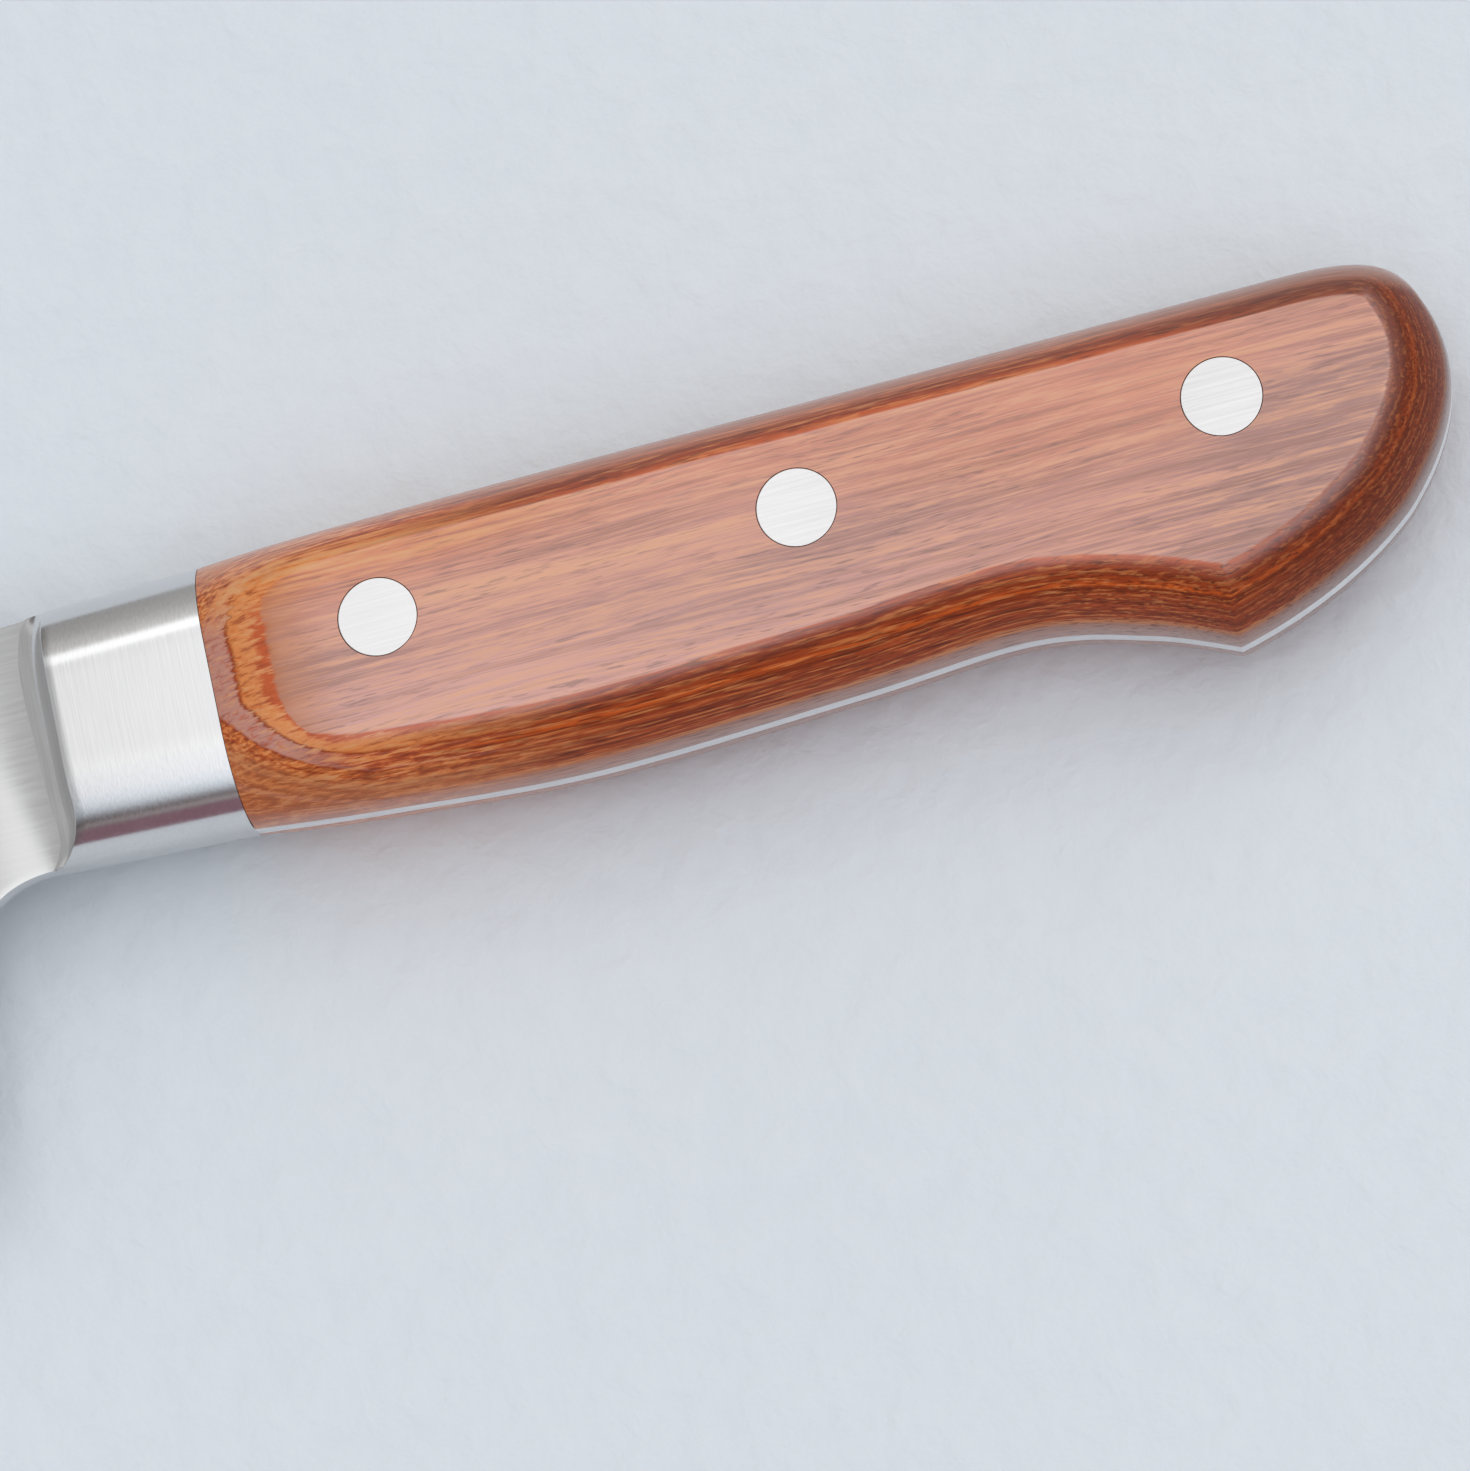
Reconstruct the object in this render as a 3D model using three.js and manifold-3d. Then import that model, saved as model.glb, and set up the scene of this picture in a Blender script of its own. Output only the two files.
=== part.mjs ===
// A gyuto, the Japanese chef's knife, with a riveted western handle, lying on its right side.
// The blade and its full tang are one steel blank. Two bolster halves are welded over the tang, and two
// laminated wood scales are held behind them by three cutler's rivets, each a tube and a pin.
//
// Millimetres, +Z up. The blade points to -X, the spine to +Y, and the knife's left side faces up.
// While it is modelled, x = 0 is the seam between bolster and scales, y = 0 is the line of the rivets
// and z = 0 is the middle of the steel. The last step puts the origin under the middle of the knife.
import * as THREE from 'three';
import { mergeVertices } from 'three/addons/utils/BufferGeometryUtils.js';
import Module from 'manifold-3d';

const wasm = await Module();
wasm.setup();

// Blank
const steelThickness = 1.8;
const bladeLength = 210; // heel to tip
const bladeHeight = 47.5; // spine to edge at the heel
const heelSetback = 15; // heel to the front of the bolster
const spineFall = 2.7; // how far the straight part of the spine slopes down to the tip
const spineDrop = 27.8; // how far the curved part of the spine falls on top of that
const spinePower = 3.2; // how late that curve begins
const edgePower = 3.2; // how late the edge begins to rise towards the tip
const tipThickness = 0.9; // at the spine, close to the tip
const shoulderThickness = 0.36; // where the cutting bevel begins
const edgeThickness = 0.1;
const bevelHeight = 0.9;
const tipLand = 0.3; // height of the small flat that ends the tip
const grindStart = 7; // ahead of the bolster's front edge
const grindBlend = 14; // length over which the full stock thickness runs out into the grind
const faceBulge = 1.15; // power of the grind: above 1 the faces are a little convex
const tipFade = 8; // how late the bevel runs out at the tip
const choilDip = 0.1; // how far the choil dips before it turns down to the heel

// Handle, seen from the side
const scaleLength = 111;
const bolsterLength = 14.4;
const topAtBolster = 10.75; // heights of the back, above the rivet line
const topAtSeam = 11;
const topHeight = 11.25;
const topRunIn = 22; // from the seam to where the back is straight
const bellyAtBolster = 12.5; // depths of the belly, below the rivet line
const bellyAtSeam = 13.35;
const swellDepth = 16;
const swellSetback = 31; // from the seam
const waistDepth = 14.45;
const waistSetback = 41; // from the butt
const beakDepth = 19.6;
const beakSetback = 23.6; // from the butt
const buttCorner = 12.5; // length of the rounded corner between back and butt
const shoulderSetback = 1.2; // from the butt to where that corner ends
const cheekSetback = 6.6; // from the butt to where the sweep to the beak begins
const buttPull = 1; // how far past the butt the curve between those two is pulled
const cheekPull = 0.6; // from the butt to where the same curve is pulled lower down

// Handle, seen along its length
const handleThickness = 19;
const bolsterThickness = 14;
const flatInset = 4.8; // from the outline to the flat side of a scale
const roundReach = 8; // how far in the rounding would reach if the flat did not cut it off
const rampLength = 15.3; // over which a scale rises from the bolster to its full thickness
const seamGap = 0.1;

// Bolster front
const coveLength = 4;
const frontSweep = 3.4; // how far the front edge sweeps forward at the belly
const frontSweepHeight = 4.2;
const coveTuck = 0.25; // share of the front sweep by which the cove is shorter at the belly
const coveRim = 0.15; // share of its length that the cove keeps where the bolster thins out

// Rivets
const rivetCount = 3;
const firstRivet = 15.9; // from the seam
const rivetPitch = 37.6;
const rivetHeadDiameter = 7;
const rivetHeadDepth = 3;
const tubeDiameter = 5;
const pinDiameter = 3.8;
const tubeReach = 5; // past the middle of the steel, into the right scale
const pinReach = 3; // past the middle of the steel, inside the tube
const boreSpare = 1; // bore left beyond the end of the pin
const pinClearance = 0.1; // on the radius
const holeClearance = 0.06; // on the radius

// Fineness of the facets
const roundSteps = 36;
const sectionSteps = 8;
const backSteps = 22;
const buttSteps = [12, 12, 8];
const bellySteps = 36;
const seamSteps = 14;
const choilSteps = 14;
const edgeSteps = 44;
const edgeCrowding = 0.85; // below 1 the blade's columns close up towards the tip
const bladeRows = [0, 0.12, 0.3, 0.5, 0.7, 0.86, 1]; // shares of the way from the spine to the bevel
const bolsterSteps = 4;
const coveSteps = 8;

// Worked out from the sizes above
const steelHalf = steelThickness / 2;
const flatHeight = handleThickness / 2;
const bolsterFront = -bolsterLength;
const buttEnd = scaleLength;
const neck = bolsterFront - coveLength; // where the cove runs out on the blade
const heel = bolsterFront - heelSetback;
const tip = heel - bladeLength;
const edgeLevel = topAtBolster - bladeHeight;
const roundAngle = Math.acos(1 - flatInset / roundReach);
const roundRise = (flatHeight - steelHalf) / Math.sin(roundAngle);
const rampFoot = (bolsterThickness / 2 - steelHalf) / roundRise;

const steel = new THREE.MeshStandardMaterial({ color: 0xc9ccd0, roughness: 0.28, metalness: 1 });
const bolsterSteel = new THREE.MeshStandardMaterial({ color: 0xd2d3d4, roughness: 0.22, metalness: 1 });
const rivetSteel = new THREE.MeshStandardMaterial({ color: 0xe4e3e0, roughness: 0.35, metalness: 1 });
const laminatedWood = new THREE.MeshStandardMaterial({ color: 0xa9624a, roughness: 0.35, metalness: 0 });

// Outline of the handle

const mix = (a, b, t) => a + (b - a) * t;
const ease = (t) => t * t * (3 - 2 * t);
const clamp01 = (t) => Math.min(1, Math.max(0, t));
const at = (x, y) => new THREE.Vector2(x, y);

// The back runs level from the bolster and lifts a little to its full height.
function backCurve() {
  const level = buttEnd - buttCorner;
  return new THREE.SplineCurve([
    at(0, topAtSeam),
    at(topRunIn, topHeight),
    at(mix(topRunIn, level, 0.5), topHeight),
    at(level, topHeight),
  ]);
}

// The butt turns over a tight upper corner and sweeps down to the beak in one long curve.
function buttCurves() {
  const shoulder = at(buttEnd - shoulderSetback, topHeight * 0.55);
  const cheek = at(buttEnd - cheekSetback, -beakDepth * 0.58);
  const beak = at(buttEnd - beakSetback, -beakDepth);
  return [
    new THREE.CubicBezierCurve(
      at(buttEnd - buttCorner, topHeight),
      at(buttEnd - buttCorner * 0.42, topHeight),
      at(buttEnd - buttCorner * 0.19, topHeight * 0.89),
      shoulder,
    ),
    new THREE.CubicBezierCurve(
      shoulder,
      at(buttEnd + buttPull, topHeight * 0.05),
      at(buttEnd - cheekPull, -beakDepth * 0.27),
      cheek,
    ),
    new THREE.CubicBezierCurve(
      cheek,
      at(buttEnd - beakSetback * 0.48, -beakDepth * 0.79),
      at(buttEnd - beakSetback * 0.75, -beakDepth * 0.93),
      beak,
    ),
  ];
}

// The belly runs from the beak through a waist and a palm swell to the bolster.
function bellyCurve() {
  const waist = buttEnd - waistSetback;
  const beak = buttEnd - beakSetback;
  return new THREE.SplineCurve([
    at(beak, -beakDepth),
    at(mix(beak, waist, 0.42), -mix(beakDepth, waistDepth, 0.58)),
    at(waist, -waistDepth),
    at(mix(waist, swellSetback, 0.4), -mix(waistDepth, swellDepth, 0.52)),
    at(swellSetback, -swellDepth),
    at(swellSetback * 0.4, -mix(bellyAtSeam, swellDepth, 0.5)),
    at(0, -bellyAtSeam),
  ]);
}

// From the seam along the back, round the butt and back along the belly to the seam.
const handleOutline = [
  ...backCurve().getSpacedPoints(backSteps),
  ...buttCurves().flatMap((curve, i) => curve.getSpacedPoints(buttSteps[i]).slice(1)),
  ...bellyCurve().getSpacedPoints(bellySteps).slice(1),
];

const bolsterTop = (x) => mix(topAtSeam, topAtBolster, x / bolsterFront);
const bolsterBelly = (x) => -mix(bellyAtSeam, bellyAtBolster, x / bolsterFront);
const edgeLine = [
  at(tip, bolsterTop(tip)),
  ...handleOutline,
  at(tip, bolsterBelly(tip)),
];

function segmentDistance(p, a, b) {
  const length2 = a.distanceToSquared(b);
  const t = clamp01(((p.x - a.x) * (b.x - a.x) + (p.y - a.y) * (b.y - a.y)) / length2);
  return Math.hypot(p.x - mix(a.x, b.x, t), p.y - mix(a.y, b.y, t));
}

function edgeDistance(p) {
  let nearest = Infinity;
  for (let i = 1; i < edgeLine.length; i++) {
    nearest = Math.min(nearest, segmentDistance(p, edgeLine[i - 1], edgeLine[i]));
  }
  return nearest;
}

// Height of the rounded handle above the middle of the steel, before the flat is ground on it.
// The rounding is part of an ellipse, and it is lower at the bolster than on the scales.
function roundedHeight(p) {
  const inset = Math.min(edgeDistance(p), roundReach);
  const round = Math.sqrt(Math.max(0, 1 - (1 - inset / roundReach) ** 2));
  const ramp = 1 - (1 - clamp01(p.x / rampLength)) ** 3;
  return steelHalf + roundRise * round * mix(rampFoot, 1, ramp);
}

const sideHeight = (p) => Math.min(flatHeight, roundedHeight(p));

// Solids

// A closed mesh from corner triples: shared corners are merged and collapsed faces dropped.
function closedGeometry(triangles) {
  const soup = new THREE.BufferGeometry();
  soup.setAttribute('position', new THREE.Float32BufferAttribute(triangles.flat(2), 3));
  const merged = mergeVertices(soup, 1e-4);
  const index = merged.index.array;
  const kept = [];
  for (let i = 0; i < index.length; i += 3) {
    const [a, b, c] = [index[i], index[i + 1], index[i + 2]];
    if (a !== b && b !== c && c !== a) kept.push(a, b, c);
  }
  merged.setIndex(kept);
  return merged;
}

// Triangles of a grid of points, rows by columns, facing the side from which rows run up and columns right.
function gridFaces(rows) {
  const faces = [];
  for (let i = 1; i < rows.length; i++) {
    for (let j = 1; j < rows[i].length; j++) {
      const [a, b] = [rows[i - 1][j - 1], rows[i - 1][j]];
      const [c, d] = [rows[i][j], rows[i][j - 1]];
      faces.push([a, b, c], [a, c, d]);
    }
  }
  return faces;
}

const flipFaces = (faces) => faces.map(([a, b, c]) => [a, c, b]);
const mirrorFaces = (faces) => flipFaces(faces.map((face) => face.map(([x, y, z]) => [x, y, -z])));

function toManifold(geometry) {
  const bare = geometry.clone();
  bare.deleteAttribute('normal');
  bare.deleteAttribute('uv');
  const merged = mergeVertices(bare, 1e-4);
  return new wasm.Manifold(new wasm.Mesh({
    numProp: 3,
    vertProperties: new Float32Array(merged.attributes.position.array),
    triVerts: new Uint32Array(merged.index.array),
  }));
}

function fromManifold(solid) {
  const mesh = solid.getMesh();
  const geometry = new THREE.BufferGeometry();
  geometry.setAttribute('position', new THREE.BufferAttribute(mesh.vertProperties, 3));
  geometry.setIndex(new THREE.BufferAttribute(mesh.triVerts, 1));
  return geometry;
}

function subtractAll(geometry, cutters) {
  let solid = toManifold(geometry);
  for (const cutter of cutters) solid = solid.subtract(toManifold(cutter));
  return fromManifold(solid);
}

// A turned piece standing along Z. The profile is [radius, height] pairs from the axis and back to it.
function turned(profile, x) {
  const lathe = new THREE.LatheGeometry(profile.map(([r, z]) => at(r, z)), roundSteps);
  return lathe.rotateX(Math.PI / 2).translate(x, 0, 0);
}

const rivetPlaces = Array.from({ length: rivetCount }, (_, i) => firstRivet + i * rivetPitch);

// Blade and tang

const spineAt = (x) => {
  const run = (bolsterFront - x) / (bolsterFront - tip);
  return topAtBolster - spineFall * run - spineDrop * Math.max(0, run) ** spinePower;
};
const tipLevel = topAtBolster - spineFall - spineDrop;
const edgeAt = (x) => {
  const toTip = clamp01((heel - x) / bladeLength);
  return mix(edgeLevel, tipLevel - tipLand, toTip ** edgePower);
};

// The choil is the curve from the bolster's belly down to the heel.
function choilCurve() {
  return new THREE.CubicBezierCurve(
    at(neck, bolsterBelly(bolsterFront)),
    at(mix(neck, heel, 0.8), bolsterBelly(bolsterFront) - choilDip),
    at(mix(neck, heel, 0.98), mix(bolsterBelly(bolsterFront), edgeLevel, 0.3)),
    at(heel, edgeLevel),
  );
}

// Half the blade's thickness: a wedge from spine to edge that thins towards the tip and ends in the bevel.
function bladeHalf(x, y) {
  const toTip = clamp01((heel - x) / bladeLength);
  const atSpine = mix(steelThickness, tipThickness, toTip) / 2;
  const shoulder = shoulderThickness / 2;
  const aboveEdge = y - edgeAt(x);
  const faceHeight = spineAt(x) - edgeAt(x) - bevelHeight * (1 - toTip ** tipFade);
  const down = clamp01((spineAt(x) - y) / faceHeight);
  const wedge = mix(atSpine, shoulder, down ** faceBulge);
  const ground = mix(edgeThickness / 2, wedge, clamp01(aboveEdge / bevelHeight));
  const grind = ease(clamp01((bolsterFront - grindStart - x) / grindBlend));
  return mix(steelHalf, ground, grind);
}

// Columns of the blade from the neck to the tip, each with the height of its spine and lower edge.
function bladeColumns() {
  const choil = choilCurve().getSpacedPoints(choilSteps).map((p) => ({ x: p.x, low: p.y }));
  const edge = Array.from({ length: edgeSteps }, (_, i) => {
    const x = mix(heel, tip, ((i + 1) / edgeSteps) ** edgeCrowding);
    return { x, low: edgeAt(x) };
  });
  return [...choil, ...edge].map(({ x, low }) => {
    return { x, low, high: Math.max(spineAt(x), low + tipLand) };
  });
}

function bladeFaces() {
  const columns = bladeColumns();
  const side = columns.map(({ x, low, high }) => {
    const bevelTop = low + Math.min(bevelHeight, (high - low) / 2);
    const levels = [...bladeRows.map((share) => mix(high, bevelTop, share)), low];
    return levels.map((y) => [x, y, bladeHalf(x, y)]);
  });
  const far = side.map((column) => column.map(([x, y, z]) => [x, y, -z]));
  const rim = (j) => side.map((column, i) => [column[j], far[i][j]]);
  const last = side.length - 1;
  const low = side[0].length - 1;
  return [
    ...flipFaces(gridFaces(side)),
    ...gridFaces(far),
    ...gridFaces(rim(0)),
    ...flipFaces(gridFaces(rim(low))),
    ...flipFaces(gridFaces(side[0].map((p, j) => [p, far[0][j]]))),
    ...gridFaces(side[last].map((p, j) => [p, far[last][j]])),
  ];
}

// The tang is flat stock with the handle's own outline, running forward under the bolster to the neck.
function tangGeometry() {
  const outline = [
    at(neck, spineAt(neck)),
    at(bolsterFront, topAtBolster),
    ...handleOutline,
    at(bolsterFront, -bellyAtBolster),
    at(neck, bolsterBelly(bolsterFront)),
  ];
  const stock = { depth: steelThickness, bevelEnabled: false };
  return new THREE.ExtrudeGeometry(new THREE.Shape(outline), stock).translate(0, 0, -steelHalf);
}

function makeBlank() {
  const holes = rivetPlaces.map((x) => turned([
    [0, -steelThickness],
    [tubeDiameter / 2 + holeClearance, -steelThickness],
    [tubeDiameter / 2 + holeClearance, steelThickness],
    [0, steelThickness],
  ], x));
  const joined = toManifold(closedGeometry(bladeFaces())).add(toManifold(tangGeometry()));
  return new THREE.Mesh(subtractAll(fromManifold(joined), holes), steel);
}

// Bolster halves

// The front edge stands square to the rivet line and sweeps forward where it meets the belly.
function frontEdge(y) {
  const below = clamp01((bolsterBelly(bolsterFront) + frontSweepHeight - y) / frontSweepHeight);
  return bolsterFront - frontSweep * (1 - Math.sqrt(1 - below ** 2));
}

// Shares of the way from back to belly, closer together where the section turns over.
const sectionShares = Array.from({ length: 2 * sectionSteps + 5 }, (_, i) => {
  const t = i / (2 * sectionSteps + 4);
  return mix(t, (1 - Math.cos(Math.PI * t)) / 2, 0.85);
});

// One line along the bolster, from the seam to its front edge and down the cove to the blade.
function bolsterRow(share) {
  const onRim = share === 0 || share === 1;
  const front = frontEdge(mix(topAtBolster, -bellyAtBolster, share));
  const row = [];
  for (let i = 0; i <= bolsterSteps; i++) {
    const along = i / bolsterSteps;
    const high = bolsterTop(bolsterFront * along);
    const low = bolsterBelly(bolsterFront * along);
    const y = mix(high, low, share);
    const gap = i === 0 ? seamGap / 2 : 0;
    row.push([front * along - gap, y, onRim ? steelHalf : sideHeight(at(bolsterFront * along, y))]);
  }
  const [edgeX, edgeY, edgeZ] = row[bolsterSteps];
  const tall = clamp01((edgeZ - steelHalf) / (bolsterThickness / 2 - steelHalf));
  const reach = (coveLength - frontSweep * coveTuck * ease(share)) * mix(coveRim, 1, Math.sqrt(tall));
  for (let i = 1; i <= coveSteps; i++) {
    const turn = (Math.PI / 2) * (i / coveSteps);
    const x = edgeX - reach * (1 - Math.cos(turn));
    row.push([x, edgeY, mix(steelHalf, edgeZ, 1 - Math.sin(turn))]);
  }
  return row;
}

function makeBolsterHalf(side) {
  const rows = sectionShares.map(bolsterRow);
  const base = rows.map((row) => row.map(([x, y]) => [x, y, steelHalf]));
  const seam = rows.map((row, i) => [row[0], base[i][0]]);
  const faces = [...gridFaces(rows), ...flipFaces(gridFaces(base)), ...flipFaces(gridFaces(seam))];
  return new THREE.Mesh(closedGeometry(side > 0 ? faces : mirrorFaces(faces)), bolsterSteel);
}

// Scales

// Closed outline of a scale: the handle's outline, shut along the seam.
function scaleOutline() {
  const shut = [];
  for (let i = 1; i < seamSteps; i++) {
    shut.push(at(seamGap / 2, mix(-bellyAtSeam, topAtSeam, i / seamSteps)));
  }
  const open = handleOutline.map((p) => at(Math.max(p.x, seamGap / 2), p.y));
  return [...open, ...shut];
}

// The point where the rounding meets the ground flat, straight in from a point of the outline.
function flatEdge(point, inward) {
  let [outside, inside] = [0, roundReach * 3];
  for (let i = 0; i < 40; i++) {
    const middle = (outside + inside) / 2;
    const reached = roundedHeight(point.clone().addScaledVector(inward, middle)) >= flatHeight;
    if (reached) inside = middle;
    else outside = middle;
  }
  return point.clone().addScaledVector(inward, inside);
}

// Rings from the outline in to the flat. Near the bolster they close in on the first rivet.
function scaleRings() {
  const outline = scaleOutline();
  const focus = at(rampLength, (topAtSeam - bellyAtSeam) / 2);
  const inner = outline.map((p, i) => {
    const before = outline[(i + outline.length - 1) % outline.length];
    const after = outline[(i + 1) % outline.length];
    const square = at(after.y - before.y, before.x - after.x);
    const inward = p.x < focus.x ? focus.clone().sub(p) : square;
    return flatEdge(p, inward.normalize());
  });
  return Array.from({ length: sectionSteps + 1 }, (_, k) => {
    const share = (1 - Math.cos(roundAngle * (k / sectionSteps))) / (1 - Math.cos(roundAngle));
    return outline.map((p, i) => {
      const q = p.clone().lerp(inner[i], share);
      const onEdge = k === 0 && p.x > seamGap;
      const z = k === sectionSteps ? flatHeight : onEdge ? steelHalf : sideHeight(q);
      return [q.x, q.y, z];
    });
  });
}

// Fills a flat ring. Straight runs are bulged by a hair while it is divided, so that no point is skipped.
function capFaces(ring) {
  const bulged = ring.map(([x, y]) => {
    const across = x - scaleLength / 2;
    const pull = 1 - 1e-6 * (across ** 2 + y ** 2);
    return at(across * pull, y * pull);
  });
  return THREE.ShapeUtils.triangulateShape(bulged, []).map((face) => face.map((i) => ring[i]));
}

function scaleFaces() {
  const rings = scaleRings();
  const base = rings[0].map(([x, y]) => [x, y, steelHalf]);
  const loops = [base, ...rings].map((ring) => [...ring, ring[0]]);
  return [...flipFaces(gridFaces(loops)), ...capFaces(rings[sectionSteps]), ...flipFaces(capFaces(base))];
}

// Each rivet's hole is stepped: wide for the head, narrower for the tube.
function rivetHole(x) {
  const head = rivetHeadDiameter / 2 + holeClearance;
  const shank = tubeDiameter / 2 + holeClearance;
  return turned([
    [0, 0],
    [shank, 0],
    [shank, flatHeight - rivetHeadDepth],
    [head, flatHeight - rivetHeadDepth],
    [head, flatHeight + rivetHeadDepth],
    [0, flatHeight + rivetHeadDepth],
  ], x);
}

function makeScale(side) {
  const drilled = subtractAll(closedGeometry(scaleFaces()), rivetPlaces.map(rivetHole));
  if (side > 0) return new THREE.Mesh(drilled, laminatedWood);
  const corners = drilled.toNonIndexed().attributes.position.array;
  const faces = [];
  for (let i = 0; i < corners.length; i += 9) {
    faces.push([0, 3, 6].map((k) => Array.from(corners.subarray(i + k, i + k + 3))));
  }
  return new THREE.Mesh(closedGeometry(mirrorFaces(faces)), laminatedWood);
}

// Rivets

function makeRivetTube(x) {
  const bore = pinDiameter / 2 + pinClearance;
  const boreEnd = pinReach + boreSpare;
  return new THREE.Mesh(turned([
    [0, boreEnd],
    [bore, boreEnd],
    [bore, -tubeReach],
    [tubeDiameter / 2, -tubeReach],
    [tubeDiameter / 2, flatHeight - rivetHeadDepth],
    [rivetHeadDiameter / 2, flatHeight - rivetHeadDepth],
    [rivetHeadDiameter / 2, flatHeight],
    [0, flatHeight],
  ], x), rivetSteel);
}

function makeRivetPin(x) {
  return new THREE.Mesh(turned([
    [0, -flatHeight],
    [rivetHeadDiameter / 2, -flatHeight],
    [rivetHeadDiameter / 2, rivetHeadDepth - flatHeight],
    [pinDiameter / 2, rivetHeadDepth - flatHeight],
    [pinDiameter / 2, pinReach],
    [0, pinReach],
  ], x), rivetSteel);
}

// Assembly

const knife = new THREE.Group();
function add(name, mesh) {
  mesh.name = name;
  knife.add(mesh);
}

add('blade_and_tang', makeBlank());
add('bolster_left_half', makeBolsterHalf(1));
add('bolster_right_half', makeBolsterHalf(-1));
add('scale_left', makeScale(1));
add('scale_right', makeScale(-1));
const rivetNames = ['front', 'middle', 'rear'];
rivetPlaces.forEach((x, i) => {
  const name = rivetNames[i] ?? `extra_${i + 1}`;
  add(`rivet_${name}_tube`, makeRivetTube(x));
  add(`rivet_${name}_pin`, makeRivetPin(x));
});

// Stand the knife on its right side with the origin under its middle.
const box = new THREE.Box3().setFromObject(knife);
const middle = box.getCenter(new THREE.Vector3());
knife.position.set(-middle.x, -middle.y, -box.min.z);

export default knife;
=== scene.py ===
import math

import bmesh
import bpy
import numpy as np
from mathutils import Euler, Matrix, Vector
from mathutils.geometry import delaunay_2d_cdt


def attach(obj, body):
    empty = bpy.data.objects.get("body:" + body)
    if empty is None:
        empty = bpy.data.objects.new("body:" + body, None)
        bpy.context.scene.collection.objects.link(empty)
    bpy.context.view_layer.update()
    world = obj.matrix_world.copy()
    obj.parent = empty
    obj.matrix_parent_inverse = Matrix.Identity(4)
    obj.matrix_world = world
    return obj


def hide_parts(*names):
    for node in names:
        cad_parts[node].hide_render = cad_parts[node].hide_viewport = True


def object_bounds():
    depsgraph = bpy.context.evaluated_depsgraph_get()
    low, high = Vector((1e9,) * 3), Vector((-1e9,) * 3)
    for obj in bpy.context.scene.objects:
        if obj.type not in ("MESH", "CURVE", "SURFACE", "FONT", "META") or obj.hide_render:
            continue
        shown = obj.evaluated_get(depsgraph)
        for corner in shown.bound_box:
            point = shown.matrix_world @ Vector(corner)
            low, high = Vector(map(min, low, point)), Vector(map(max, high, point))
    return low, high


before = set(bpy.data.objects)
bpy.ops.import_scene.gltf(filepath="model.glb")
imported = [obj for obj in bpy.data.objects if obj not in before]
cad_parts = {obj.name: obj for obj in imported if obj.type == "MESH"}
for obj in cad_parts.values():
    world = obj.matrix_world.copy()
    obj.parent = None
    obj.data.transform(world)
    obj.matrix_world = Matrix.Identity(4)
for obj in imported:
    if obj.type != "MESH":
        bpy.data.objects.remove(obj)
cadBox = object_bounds()
mm = 0.001

# the handle and blank as the CAD has them, but with a finer seam and cutting edge, in millimetres:
# x from the bolster seam, y from the rivet line, z from the middle of the steel
handle = {
    "scaleLength": 111.0,
    "bolsterLength": 14.4,
    "topAtBolster": 10.75,
    "topAtSeam": 11.0,
    "topHeight": 11.25,
    "topRunIn": 22.0,
    "bellyAtBolster": 12.5,
    "bellyAtSeam": 13.35,
    "swellDepth": 16.0,
    "swellSetback": 31.0,
    "waistDepth": 14.45,
    "waistSetback": 41.0,
    "beakDepth": 19.6,
    "beakSetback": 23.6,
    "buttCorner": 12.5,
    "shoulderSetback": 1.2,
    "cheekSetback": 6.6,
    "buttPull": 1.0,
    "cheekPull": 0.6,
    "thickness": 19.0,
    "bolsterThickness": 14.0,
    "flatInset": 4.8,
    "flatEase": 0.3,
    "roundReach": 8.0,
    "rampLength": 15.3,
    "seamGap": 0.06,
    "steel": 1.8,
}
blade = {
    "length": 210.0,
    "height": 47.5,
    "heelSetback": 15.0,
    "coveLength": 4.0,
    "spineFall": 2.7,
    "spineDrop": 27.8,
    "spinePower": 3.2,
    "edgePower": 3.2,
    "tipThickness": 0.9,
    "shoulderThickness": 0.36,
    "edgeThickness": 0.04,
    "bevelHeight": 0.9,
    "tipLand": 0.3,
    "grindStart": 7.0,
    "grindBlend": 14.0,
    "faceBulge": 1.15,
    "tipFade": 8.0,
    "choilDip": 0.1,
}
steelHalf = handle["steel"] / 2
flatHeight = handle["thickness"] / 2
bolsterFront = -handle["bolsterLength"]
heel = bolsterFront - blade["heelSetback"]
tip = heel - blade["length"]
edgeLevel = handle["topAtBolster"] - blade["height"]
shift = np.array([cadBox[0].x / mm - tip, cadBox[0].y / mm - edgeLevel, flatHeight])  # to the CAD's origin


def mix(a, b, t):
    return a + (b - a) * t


# node helpers


def newMaterial(name):
    material = bpy.data.materials.new(name)
    material.use_nodes = True
    return material, material.node_tree, material.node_tree.nodes["Principled BSDF"]


def addNode(tree, kind, values=None, **settings):
    node = tree.nodes.new(kind)
    for key, value in settings.items():
        setattr(node, key, value)
    for key, value in (values or {}).items():
        if isinstance(value, bpy.types.NodeSocket):
            tree.links.new(value, node.inputs[key])
        else:
            node.inputs[key].default_value = value
    return node


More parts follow.
